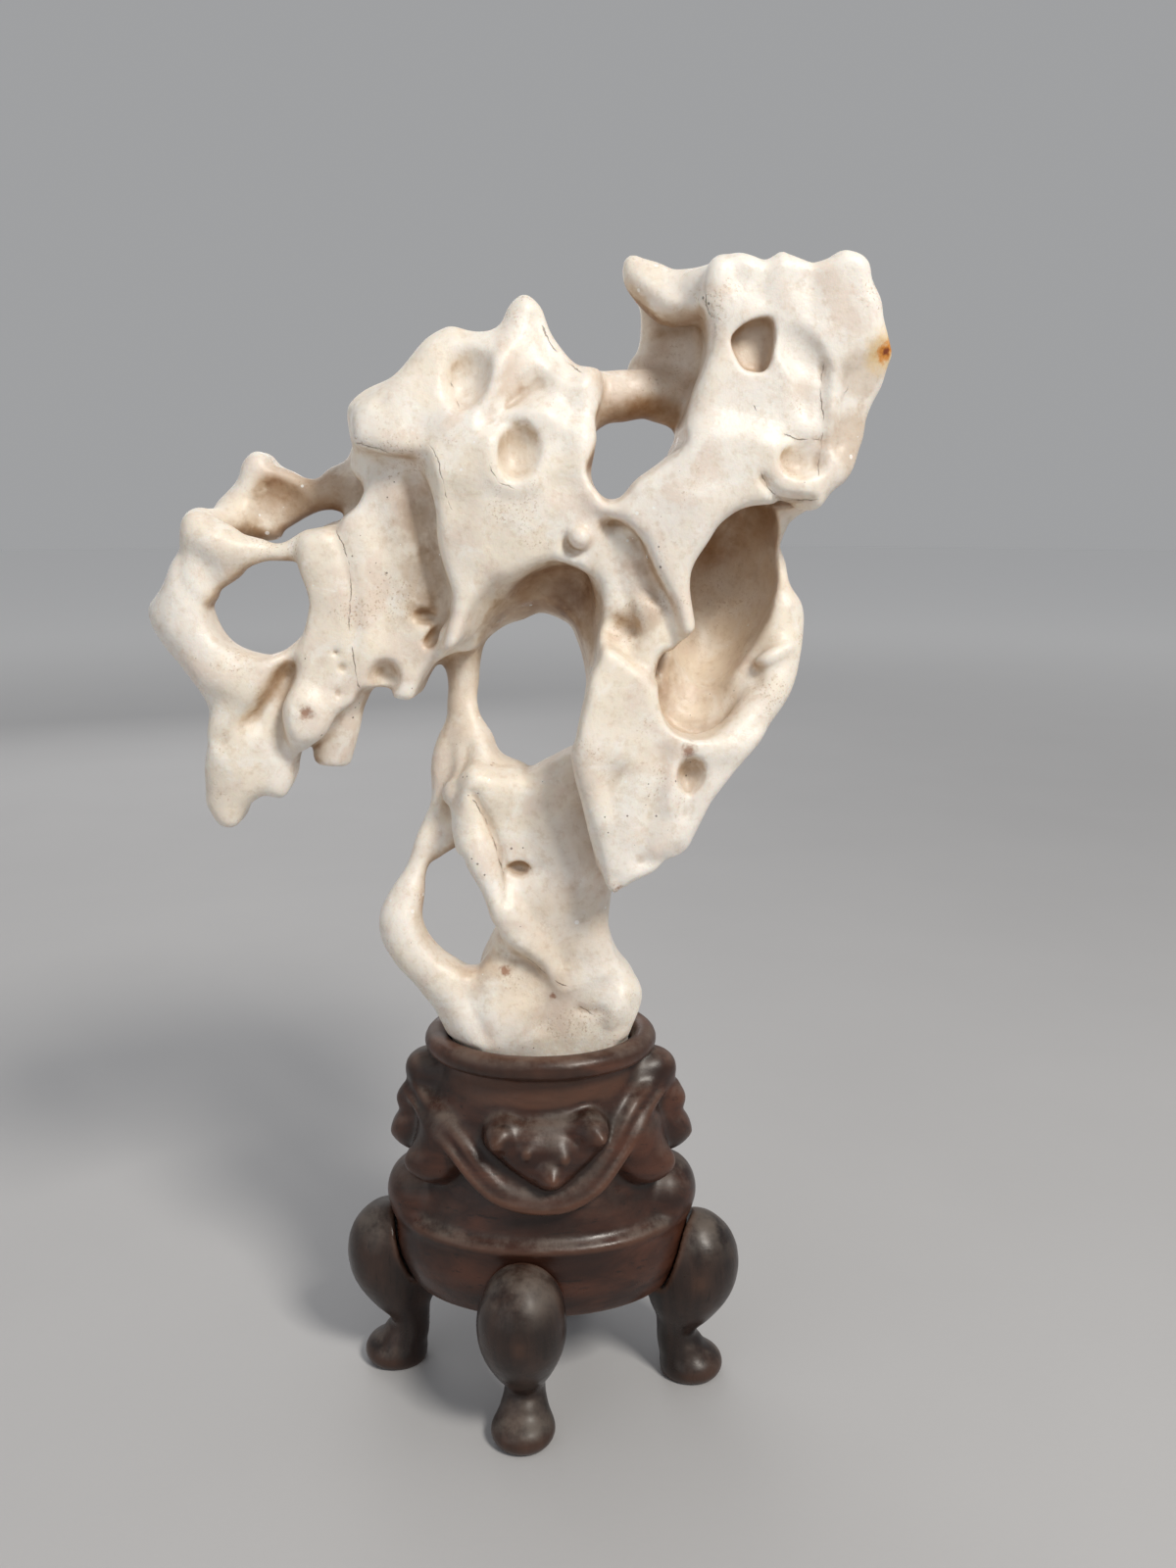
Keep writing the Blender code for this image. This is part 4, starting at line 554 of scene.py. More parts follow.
def carve_middle(clay):
    """The middle mass: its coin-shaped pit, the furrow beside the ridge, and the basin."""
    clay.pit((-4, -38, 356), (7.8, 9.6, 10.6), (-16, 4, 16), soft=0.6)
    clay.score([(-13, 362), (-14, 354), (-12, 346), (-5, 343), (2, 345)], 4, -0.8, sharp=1)
    clay.pit((14, -35, 326), (5.2, 6.0, 5.8), soft=1.0)
    clay.pebble((15, -32, 328), (3.7, 4.6, 3.7), soft=0.8)
    clay.pit((-21, -31, 380), (8.5, 9, 12), (0, 16, 0), soft=2)
    clay.score([(2, 377), (-4, 373), (-9, 368), (-13, 365)], 5.5, 3.6, sharp=1)
    clay.score([(1, 397), (3, 390), (6, 383)], 5, 1.8)
    clay.score([(12, 369), (10, 358), (8, 346)], 9, 1.2)
    clay.score([(-9, 340), (-12, 329), (-16, 315)], 12, 1.0)
    clay.pit((-49, -31, 371), (3, 3, 3), soft=2)
    clay.limb([(-56, -10, 352, 6), (-42, -14, 350, 6), (-31, -17, 349, 6)], soft=6)
    clay.limb(
        [(-40, -24, 345, 4), (-37, -24, 338, 6.5), (-36, -24, 330, 5.5), (-34, -23, 321, 4.5),
         (-32, -22, 311, 3.5), (-32, -21, 302, 3)], soft=3, carve=True)
    clay.pit((-52, -23, 280), (5.2, 9, 7), soft=1.5)
    clay.pit((-36, -22, 301), (5, 6, 2.8), (0, 10, 0), soft=2)
    clay.limb([(-32, -20, 300, 2), (-34, -19, 295, 2.5), (-36, -20, 292, 2)], soft=1, carve=True)
    clay.score([(-32, 355), (-30, 345), (-29, 335), (-30, 325), (-27, 314), (-27, 306)], 4, -1.0, sharp=1)


def carve_left(clay):
    """The ring's bevel and creases, and the fingers' folds."""
    clay.score(
        [(-67, 329), (-64, 322), (-62, 313), (-61, 302), (-61, 293), (-64, 283), (-67, 274)],
        3.5, 1.2, sharp=1)
    clay.score([(-51, 336), (-49, 318), (-51, 298)], 9, 1.2)
    clay.pit((-97, -31, 305), (12.5, 12, 15.5), soft=1.5)
    clay.score([(-84, 284), (-92, 273), (-102, 263), (-108, 258)], 6, 2.4)
    clay.score([(-86, 280), (-88, 268), (-89, 255)], 6, 2.0)
    clay.score([(-120, 321), (-119, 312), (-112, 304)], 5, 1.0)
    clay.score([(-81, 271), (-78, 270), (-76, 267)], 1.8, 0.9, sharp=1)
    for place in ((-68, -22, 289), (-66, -22, 284), (-68, -22, 275)):
        clay.pit(place, (0.9, 1.9, 1.1), soft=0.8)
    clay.pit((-91, 1, 339), (9, 6, 9), soft=4)


def add_back(clay):
    """Ridges that run down the back."""
    clay.limb(
        [(104, 18, 398, 6), (92, 24, 376, 8), (76, 25, 346, 8), (58, 25, 318, 9), (52, 26, 286, 8),
         (60, 25, 256, 8), (50, 20, 228, 7)], soft=9)
    clay.limb(
        [(-6, 12, 372, 3), (-7, 17, 362, 6), (-10, 20, 348, 7), (2, 19, 326, 7), (26, 20, 316, 6),
         (48, 23, 308, 7)], soft=8)
    clay.limb([(-70, 6, 330, 4), (-52, 9, 318, 6), (-42, 12, 296, 6), (-28, 14, 286, 6)], soft=7)
    clay.limb([(82, 20, 304, 5), (78, 25, 286, 6), (66, 26, 262, 6)], soft=7)
    clay.limb([(-14, 14, 166, 6), (-4, 18, 178, 7), (10, 18, 200, 7), (16, 16, 226, 6)], soft=8)


# facets that break the back's edges: a point on each, the way it faces, its radius and softness
HEAD_FACETS = [
    ((116, 13, 392), (0.75, 0.62, 0.2), 42, 4), ((88, 3, 412), (-0.05, 0.75, 0.66), 80, 5),
    ((112, -4, 402), (0.9, 0.3, 0.3), 24, 4), ((111, 6, 364), (0.93, 0.35, -0.1), 22, 4),
    ((66, 2, 408), (-0.2, 0.3, 0.93), 20, 4), ((93, 0, 409), (0.1, 0.1, 0.99), 17, 4),
    ((56, 20, 396), (-0.25, 0.95, 0.15), 32, 4),
]
BACK_FACETS = [
    ((97, 7, 303), (0.85, 0.52, 0.1), 26, 4), ((87, 2, 264), (0.85, 0.4, -0.4), 24, 4),
    ((66, 4, 242), (0.45, 0.6, -0.65), 30, 4), ((58, 14, 232), (0.1, 0.85, -0.5), 44, 4),
    ((24, 13, 264), (-0.7, 0.7, 0.0), 40, 4), ((-46, 13, 352), (-0.2, 0.95, 0.25), 34, 4),
    ((-8, 6, 386), (0.1, 0.8, 0.6), 36, 4), ((-33, 6, 368), (-0.4, 0.5, 0.75), 22, 4),
    ((10, 6, 374), (0.25, 0.65, 0.72), 13, 4), ((-46, 10, 312), (-0.2, 0.95, -0.2), 46, 4),
    ((4, 12, 160), (0.5, 0.85, 0.1), 40, 4),
]
# hollows between the back's ridges: middle, radii and degrees turned about y
BACK_HOLLOWS = [
    ((70, 36, 394), (17, 15, 15), 30), ((106, 34, 368), (12, 13, 19), 16),
    ((34, 36, 340), (12, 13, 12), -30), ((80, 38, 306), (9, 13, 13), 30),
    ((42, 34, 262), (8, 10, 17), -6), ((70, 35, 232), (9, 12, 12), 40),
    ((-28, 29, 366), (14, 14, 12), 36), ((-22, 30, 326), (11, 14, 16), -14),
    ((14, 33, 352), (8, 14, 13), -20), ((-64, 19, 302), (10, 12, 14), 10),
    ((-4, 27, 196), (8, 13, 15), 24), ((20, 26, 172), (10, 12, 15), -14),
]


def carve_back(clay):
    """The back's facets and hollows, and the long hollow under the head."""
    for facet in HEAD_FACETS:
        clay.scoop(*facet)
    clay.pit((104, 43, 343), (46, 22, 17), (0, 14, 0), soft=6)
    for facet in BACK_FACETS:
        clay.scoop(*facet)
    for centre, radii, turn in BACK_HOLLOWS:
        clay.pit(centre, radii, (0, turn, 0))


def sculpt_stone(step):
    """The stone, before its foot is fitted to the socket."""
    clay = Clay(STONE_LOW, STONE_HIGH, step)
    masses = [add_column, add_handle, add_right_body, add_head, add_hat, add_left_panel, add_ring, add_back]
    hollows = [carve_cave, carve_holes, carve_right, carve_column, carve_head, carve_middle, carve_left]
    for work in masses + hollows + [carve_back]:
        work(clay)
    for wavelength, depth, seed in WEATHERING:
        clay.weather(wavelength, depth, seed)
    return clay


# ---------------------------------------------------------------- the stand
BODY_WALL = [(0, DRUM_BOTTOM), (50.5, DRUM_BOTTOM), (53, 47), (55.5, 53), (56.8, 59), (56.6, 65),
             (55.6, 70), (53.5, 73.5), (51, 76), (49.5, 80), (47, 86), (43, 94), (40.5, 106), (38.5, 118),
             (36.5, 128), (35, 133), (0, 133)]
NECK = [(0, 118), (40, 118), (38, 126), (36.6, 131), (37, 135), (39, 141), (0, 141)]
# the two big leaves: their face, as (half width, height), and outline, as degrees and height
LEAF_WALL = [(0, 82), (49, 83), (52.3, 86.5), (54.2, 90), (53.4, 94), (51, 100), (48.8, 106), (46.8, 111),
             (44.8, 117), (42.8, 122), (40, 127.5), (37.5, 132), (36, 136), (0, 136)]
LEAF = [(-86, 120.5), (-74, 118), (-61, 114.6), (-47, 110.5), (-36, 105), (-28, 99), (-18, 92.5), (-8, 89),
        (2, 88), (12, 89), (23, 94.5), (31, 101), (40, 108), (48, 114), (58, 118.5), (74, 121.5), (88, 123),
        (80, 134), (50, 137), (0, 138), (-50, 137), (-80, 133)]
# the raised edge of a leaf: degrees round the stand, height and half width
LEAF_EDGE = [(-87, 121, 52), (-74, 118, 50.8), (-61, 114.6, 50.2), (-47, 110.8, 51.8), (-36, 105.2, 53.6),
             (-28, 99.5, 55.2), (-18, 93.2, 57.2), (-8, 90, 58), (2, 89, 58.3), (12, 90, 58),
             (23, 95, 56.8), (31, 101.3, 55), (40, 108.2, 52.8), (48, 114.2, 50.8), (58, 118.8, 49.2),
             (74, 121.8, 48.4), (88, 123.5, 49.5)]
# the lump on each leaf: degrees, height, half width and radius of its corners
LUMP = [(-18, 114.5, 46.5, 5.4), (1, 116, 45.5, 5.0), (25, 116.5, 45.5, 5.4), (17, 108.5, 48.5, 5.0),
        (4.5, 102.8, 51.5, 5.0), (-8, 108, 49, 5.4)]
LUMP_POINTS = [(-15, 114.8, 62), (23, 115.8, 61.5), (4.8, 103, 67), (-4, 111.5, 60.5), (9.5, 109.5, 61)]
LEAVES = (0, 180)  # degrees round the stand
ROUND = range(0, 361, 15)  # the same, for a ring
# knobs between the leaves: degrees, then half width, height and radius from root to tip
KNOBS = [
    (56, 60, [(38, 104, 10.5), (45, 99.5, 10), (50.8, 98.6, 7), (56.2, 98.8, 2.2)]),
    (87, 87, [(40, 106, 11.5), (48, 104, 8.4), (55.8, 102.3, 2.2)]),
    (88, 88, [(41, 117, 7.5), (47.5, 116, 6), (50.5, 115.5, 4.4)]),
    (94, 91, [(38, 127, 8.5), (42.5, 128, 7.4), (44.5, 128, 6.4)]),
]


def on_oval(degrees, half_width, z, oval=OVAL):
    """A point on an oval round the stand's axis, the front at 0 degrees."""
    a = math.radians(degrees)
    return (half_width * math.sin(a), -half_width * oval * math.cos(a), z)


def add_leaf(clay, middle):
    """A hanging leaf with a raised edge, and a lump with five points on it."""
    clay.turned(LEAF_WALL, within=LEAF, middle=middle, soft=2)
    slope = [(*on_oval(middle + 3 + 0.9 * (d - 3), w - 4.4, z + 2.4), 2.2) for d, z, w in LEAF_EDGE]
    clay.limb(slope, soft=5, steps=2)
    clay.limb([(*on_oval(middle + d, w - 1.0, z), 1.5) for d, z, w in LEAF_EDGE], soft=2.5, steps=2)
    corners = [(*on_oval(middle + d, w, z), r) for d, z, w, r in LUMP]
    clay.limb(corners + corners[:1], soft=3, steps=2)
    clay.pebble(on_oval(middle + 4, 48.5, 110.5), (10, 6.5, 6.5), soft=3)
    for degrees, z, tip in LUMP_POINTS:
        root, point = on_oval(middle + degrees, tip - 14, z + 0.5), on_oval(middle + degrees, tip - 2, z)
        clay.limb([(*root, 7.0), (*point, 1.6)], soft=3)


def add_knobs(clay):
    """Pointed knobs between the leaves, alike at the front and back and on both sides."""
    for root, tip, path in KNOBS:
        for side in (-1, 1):
            for front in (True, False):
                points = []
                for step, (half_width, z, radius) in enumerate(path):
                    degrees = root + (tip - root) * step / (len(path) - 1)
                    degrees = side * (degrees if front else 180 - degrees)
                    points.append((*on_oval(degrees, half_width, z), radius))
                clay.limb(points, soft=3.5)


def sculpt_body(clay):
    """The stand's body: drum, shoulder, two leaves, knobs and a rolled rim round the socket."""
    clay.turned(BODY_WALL)
    clay.turned(NECK, oval=RIM_OVAL, soft=5)
    clay.limb([(*on_oval(a, 54.4, 71.5), 1.6) for a in ROUND], soft=3, steps=2)
    for side in (-1, 1):
        clay.pebble((side * 47, 0, 78), (13, 16, 14), soft=4)
        clay.pebble((side * 37, 0, 107), (11, 26, 16), soft=6)
    for middle in LEAVES:
        add_leaf(clay, middle)
    add_knobs(clay)
    rim = [(*on_oval(a, RIM_HALF_WIDTH, RIM_HEIGHT, RIM_OVAL), RIM_RADIUS) for a in ROUND]
    clay.limb(rim, soft=1.5, steps=2)
    edge, top = SOCKET_HALF_WIDTH, 160
    socket = [(0, SOCKET_FLOOR), (edge, SOCKET_FLOOR), (edge, top), (0, top)]
    clay.turned(socket, oval=RIM_OVAL, soft=1.5, carve=True)
    clay.shave((0, 0, DRUM_BOTTOM), (0, 0, -1), reach=120, soft=1.0)


# how far out from the knee's middle, height and radius
LEG_PATH = [(0.0, 56, 13.5), (0.5, 51, 16.2), (0.0, 44, 16), (-2.5, 35, 13), (-5.5, 27, 9.6),
            (-7.0, 20.5, 7.8), (-6.5, 14, 8.0), (-4.0, 8, 9.4), (-4.0, 0, 9.0)]
LEG_BACK = [(-8, 55, 13), (-10, 44, 11), (-10, 34, 8)]
# each knee's middle in x and y, and the degrees round the stand that the leg leans out to
LEGS = {
    "leg_front": ((-6, -44.5), -4.0),
    "leg_right": ((60.0, -4.5), 86.0),
    "leg_back": ((5.0, 44.5), 176.0),
    "leg_left": ((-60.5, 4.5), 266.0),
}


def sculpt_leg(clay, knee, angle):
    """A leg with a full knee, a narrow ankle and a round foot; it leans out along angle."""
    a = math.radians(angle)
    out = (math.sin(a), -math.cos(a))
    for path, soft in ((LEG_PATH, 1.5), (LEG_BACK, 4)):
        clay.limb([(knee[0] + u * out[0], knee[1] + u * out[1], z, r) for u, z, r in path], soft=soft)
    clay.pebble((knee[0] - 0.5 * out[0], knee[1] - 0.5 * out[1], 4.5), (12, 12, 7.5), soft=2.5)
    clay.shave((0, 0, 0), (0, 0, -1), reach=140, soft=0.8)


# ---------------------------------------------------------------- what the materials need to know
# hairline cracks: the depth each lies at and its path in x and z
CRACKS = [
    (-33, [(93, 381), (92, 375), (93, 368), (93, 362), (93, 358), (92, 349)]),
    (-34, [(82, 360), (85, 359), (88, 359), (92, 359)]),
    (-31, [(74, 347), (76, 344), (78, 342), (82, 340), (85, 340), (88, 340), (91, 340)]),
    (-31, [(55, 402), (56, 398), (58, 395), (58, 392)]),
    (-34, [(68, 374), (70, 371), (71, 369)]),
    (-31, [(99, 378), (101, 376), (100, 373)]),
    (-29, [(-57, 358), (-53, 357), (-49, 356), (-45, 354)]),
    (-35, [(-32, 356), (-30, 352), (-29, 347), (-28, 342), (-27, 338)]),
    (-18, [(-23, 238), (-19, 231), (-16, 224), (-14, 217), (-12, 209), (-12, 200)]),
    (-16, [(16, 158), (19, 156), (22, 155)]),
    (-18, [(-3, 178), (2, 173), (7, 169), (11, 167)]),
    (-22, [(3, 396), (5, 391), (8, 387), (11, 384), (15, 381)]),
    (-30, [(-26, 376), (-25, 373), (-24, 370)]),
    (-35, [(-13, 350), (-11, 346), (-7, 344), (-3, 342)]),
    (-21, [(-66, 329), (-63, 322), (-62, 311), (-63, 298), (-62, 287), (-61, 278)]),
]
CRACK_REACH = 3.0  # mm to each side of a crack, and past its ends
CRACK_DEPTH = 8  # mm before and behind a crack's own depth that it shows at
HOLLOW_REACH = 12  # mm from the surface that counts for its hollows
HOLLOW_BLUR = 5  # mm2, how far the field is blurred to find them
HOLLOW_FULL = 0.5  # mm of hollowness that counts as 1
SHELTER_REACH = (3, 6, 10, 15, 21, 28, 36, 45)  # mm along each ray
SHELTER_RAYS = 40


def sample(clay, points):
    """The clay's field at points, between its samples."""
    place = [(points[:, i] - axis[0]) / clay.step for i, axis in enumerate(clay.axes)]
    whole = [np.clip(p.astype(int), 0, n - 2) for p, n in zip(place, clay.field.shape)]
    share = [np.clip(p - w, 0, 1) for p, w in zip(place, whole)]
    value = np.zeros(len(points))
    for corner in np.ndindex(2, 2, 2):
        weight = np.ones(len(points))
        for s, c in zip(share, corner):
            weight *= s if c else 1 - s
        value += weight * clay.field[tuple(w + c for w, c in zip(whole, corner))]
    return value


def hollowness(clay, points, rounds):
    """How far each point lies in a hollow, in mm: the blurred field is lower there than on a flat."""
    blurred = copy.copy(clay)
    blurred.field = np.clip(clay.field, -HOLLOW_REACH, HOLLOW_REACH)
    blurred.soften(rounds)
    return -sample(blurred, points)


def shelter(clay, points, normals):
    """The share of each point's outlook that the piece itself blocks nearby, from 0 to 1."""
    seen, total = np.zeros(len(points)), np.zeros(len(points))
    for k in range(SHELTER_RAYS):
        z = 1 - (2 * k + 1) / SHELTER_RAYS
        turn = k * math.pi * (3 - math.sqrt(5))
        ray = np.array([math.cos(turn), math.sin(turn), 0]) * math.sqrt(1 - z * z) + (0, 0, z)
        weight = np.maximum(normals @ ray, 0)
        clear = np.ones(len(points), bool)
        for reach in SHELTER_REACH:
            place = [
                np.clip(((points[:, i] + ray[i] * reach - axis[0]) / clay.step).astype(int), 0, axis.size - 1)
                for i, axis in enumerate(clay.axes)
            ]
            clear &= clay.field[tuple(place)] > 0
        seen += weight * clear
        total += weight
    return 1 - seen / np.maximum(total, TINY)


def crack_sides(points):
    """Each point's distance across the nearest crack, below 0 on one side, and its nearness to it."""
    side, nearest = np.full(len(points), CRACK_REACH), np.full(len(points), CRACK_REACH)
    for depth, path in CRACKS:
        line = smooth_path(path, 3)
        for a, b in zip(line, line[1:]):
            away = points[:, ::2] - a
            along = (b - a) / np.linalg.norm(b - a)
            share = np.clip(away @ along, 0, np.linalg.norm(b - a))
            gap = np.linalg.norm(away - share[:, None] * along, axis=1)
            gap = np.where(np.abs(points[:, 1] - depth) < CRACK_DEPTH, gap, CRACK_REACH)
            closer = gap < nearest
            nearest = np.where(closer, gap, nearest)
            side = np.where(closer, away[:, 0] * along[1] - away[:, 1] * along[0], side)
    return side, 1 - nearest / CRACK_REACH


def add_layers(mesh, clay):
    """Stores hollowness, shelter and cracks on the mesh's points, for the materials to use."""
    flat, normals = np.empty(len(mesh.vertices) * 3), np.empty(len(mesh.vertices) * 3)
    mesh.vertices.foreach_get("co", flat)
    mesh.vertex_normals.foreach_get("vector", normals)
    points, normals = flat.reshape(-1, 3) / MM + ORIGIN, normals.reshape(-1, 3)
    rounds = max(2, round(HOLLOW_BLUR / clay.step**2))
    side, near = crack_sides(points)
    layers = {
        "fine_hollow": np.clip(hollowness(clay, points, rounds) / HOLLOW_FULL, -1, 1),
        "shelter": shelter(clay, points, normals),
        "crack_side": side,
        "crack_near": near,
    }
    for name, values in layers.items():
        layer = mesh.attributes.new(name, "FLOAT", "POINT")
        layer.data.foreach_set("value", np.asarray(values, np.float32))


# ---------------------------------------------------------------- pieces
def new_object(name, data):
    item = bpy.data.objects.new(name, data)
    bpy.context.scene.collection.objects.link(item)
    return item


def new_piece(name, clay, triangles, material):
    """A smooth piece from the clay, in place of the CAD node of that name."""
    mesh = clay.mesh(name + "_surface")
    piece = new_object(name + "_surface", mesh)
    count = 2 * len(mesh.polygons)
    if count > triangles:
        fewer = piece.modifiers.new("fewer faces", "DECIMATE")
        fewer.ratio = triangles / count
        seen = piece.evaluated_get(bpy.context.evaluated_depsgraph_get())
        mesh = bpy.data.meshes.new_from_object(seen)
        piece.modifiers.clear()
        piece.data = mesh
    add_layers(mesh, clay)
    mesh.shade_smooth()
    mesh.materials.append(material)
    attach(piece, "root")
    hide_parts(name)


def fit_socket(stone):
    """Trims the stone's foot to stand inside the stand's socket."""
    stand = Clay(SOCKET_LOW, SOCKET_HIGH, stone.step)
    sculpt_body(stand)
    stone.keep_clear(stand, GAP)
    wall, beyond = SOCKET_HALF_WIDTH - GAP, 2 * SOCKET_HALF_WIDTH
    low, high = STONE_LOW[2], RIM_HEIGHT - RIM_RADIUS
    outside = [(wall, low), (wall, high), (beyond, high), (beyond, low)]
    stone.turned(outside, soft=1.0, oval=RIM_OVAL, carve=True)
    stone.shave((0, 0, STONE_FOOT), (0, 0, -1), reach=beyond, soft=1.0)


# ---------------------------------------------------------------- material nodes
class Shader:
    """A Principled material and short calls for its nodes."""

    def __init__(self, name):
        self.material = bpy.data.materials.new(name)
        self.material.use_nodes = True
        self.tree = self.material.node_tree
        self.surface = self.tree.nodes["Principled BSDF"]
        self.place = self.add("TexCoord", {}, "Object")

    def feed(self, socket, value):
        """Gives a socket a number, a colour or another node's output."""
        if isinstance(value, bpy.types.NodeSocket):
            self.tree.links.new(value, socket)
        elif socket.type == "RGBA":
            socket.default_value = (*value, 1)
        else:
            socket.default_value = value

    def add(self, kind, inputs, output=0, **settings):
        """One output of a new node with the given inputs, by name or number, and settings."""
        node = self.tree.nodes.new("ShaderNode" + kind)
        for name, value in settings.items():
            setattr(node, name, value)
        for name, value in inputs.items():
            self.feed(node.inputs[name], value)
        return node.outputs[output]

    def stretched(self, scale):
        return self.add("Mapping", {"Vector": self.place, "Scale": scale})

    def noise(self, scale, detail=3.0, rough=0.55, at=None, warp=0.0):
        inputs = {"Vector": at or self.place, "Scale": scale, "Detail": detail, "Roughness": rough}
        return self.add("TexNoise", {**inputs, "Distortion": warp}, "Fac")

    def cells(self, scale, output="Distance"):
        return self.add("TexVoronoi", {"Vector": self.place, "Scale": scale}, output)

    def layer(self, name):
        return self.add("Attribute", {}, "Fac", attribute_name=name)

    def upward(self):
        """How far the surface faces up, from -1 to 1."""
        return self.add("SeparateXYZ", {0: self.add("NewGeometry", {}, "Normal")}, "Z")

    def math(self, operation, a, b=0.5):
        return self.add("Math", {0: a, 1: b}, operation=operation)

    def plus(self, a, b):
        return self.math("ADD", a, b)

    def times(self, a, b):
        return self.math("MULTIPLY", a, b)

    def ramp(self, value, low, high, start=0.0, end=1.0):
        """A smooth step of value from start at low to end at high."""
        inputs = dict(enumerate((value, low, high, start, end)))
        return self.add("MapRange", inputs, interpolation_type="SMOOTHSTEP")

    def mix(self, share, a, b, blend="MIX"):
        return self.add("Mix", {0: share, 6: a, 7: b}, 2, data_type="RGBA", blend_type=blend)

    def distance(self, centre):
        """Distance in metres from a point given in the sculpture's millimetres."""
        centre = [(c - o) * MM for c, o in zip(centre, ORIGIN)]
        return self.add("VectorMath", {0: self.place, 1: centre}, "Value", operation="DISTANCE")

    def bump(self, height, distance, strength=1.0, under=None):
        inputs = {"Height": height, "Distance": distance, "Strength": strength}
        if under is not None:
            inputs["Normal"] = under
        return self.add("Bump", inputs, "Normal")

    def finish(self, colour, roughness, normal, **others):
        """The material, with values for the surface's other inputs, a _ for each space in a name."""
        inputs = {"Base Color": colour, "Roughness": roughness, "Normal": normal}
        for name, value in {**inputs, **others}.items():
            self.feed(self.surface.inputs[name.replace("_", " ")], value)
        return self.material


RUST = (112, -29, 387)  # the orange spot on the head's right edge
# its rings: where each is whole and where it ends, in mm, its strength and its colour
RUST_RINGS = [
    (3.5, 10.0, 0.7, (0.80, 0.55, 0.22)),
    (2.4, 4.8, 0.95, (0.66, 0.24, 0.02)),
    (1.2, 2.7, 0.95, (0.20, 0.035, 0.006)),
]
# small rust-brown stains: place in the sculpture and radius in mm
BROWN_STAINS = [
    ((-12, -17, 173), 1.3),
    ((28, -35, 210), 1.1),
    ((41, -30, 285), 1.0),
    ((52, -35, 258), 1.6),
    ((-78, -26, 269), 1.5),
    ((-16, -12, 249), 0.7),
    ((6, -16, 163), 1.0),
]
# painted shade in sheltered places and on a facet turned from the light, with a few tan tints on the lower
# body: place, radius in mm and strength
PAINTED_SHADE_AND_TINT_SPOTS = [
    ((4, -8, 310), 20, 0.9),
    ((19, -14, 300), 15, 0.75),
    ((-80, 4, 340), 17, 0.8),
    ((104, -30, 358), 15, 0.55),
    ((103, -30, 378), 10, 0.35),
    ((84, -2, 340), 20, 0.25),
    ((62, 12, 318), 18, 0.18),
    ((-41, -18, 331), 9, 0.45),
    ((-38, -18, 314), 10, 0.5),
    ((-36, -17, 299), 9, 0.35),
    ((31, -26, 319), 8, 0.5),
    ((35, -28, 303), 9, 0.5),
    ((44, -17, 280), 10, 0.45),
    ((5, -19, 221), 14, 0.22),
    ((12, -18, 190), 22, 0.32),
    ((2, -16, 162), 20, 0.28),
    ((-18, -15, 174), 10, 0.45),
]
CREAM = (0.88, 0.835, 0.775)
WARM_CREAM = (0.875, 0.795, 0.68)
PINK_GREY = (0.80, 0.69, 0.60)
MILK_WHITE = (0.93, 0.90, 0.84)
CRYSTAL_WHITE = (0.97, 0.96, 0.94)
TAN = (0.56, 0.42, 0.28)
# the next three colours paint shade in sheltered places, hollows and undersides, mixed with brown dust,
# grazes and tan tints
PAINTED_SHADE_AND_DUST_TAN = (0.80, 0.66, 0.50)
PAINTED_SHADE_AND_TINT_BROWN = (0.56, 0.42, 0.30)
PAINTED_SHADE_AND_DUST_BROWN = (0.40, 0.26, 0.15)
CRACK_BROWN = (0.13, 0.075, 0.04)
DARK_BROWN = (0.07, 0.04, 0.022)
STAIN_BROWN = (0.26, 0.085, 0.025)


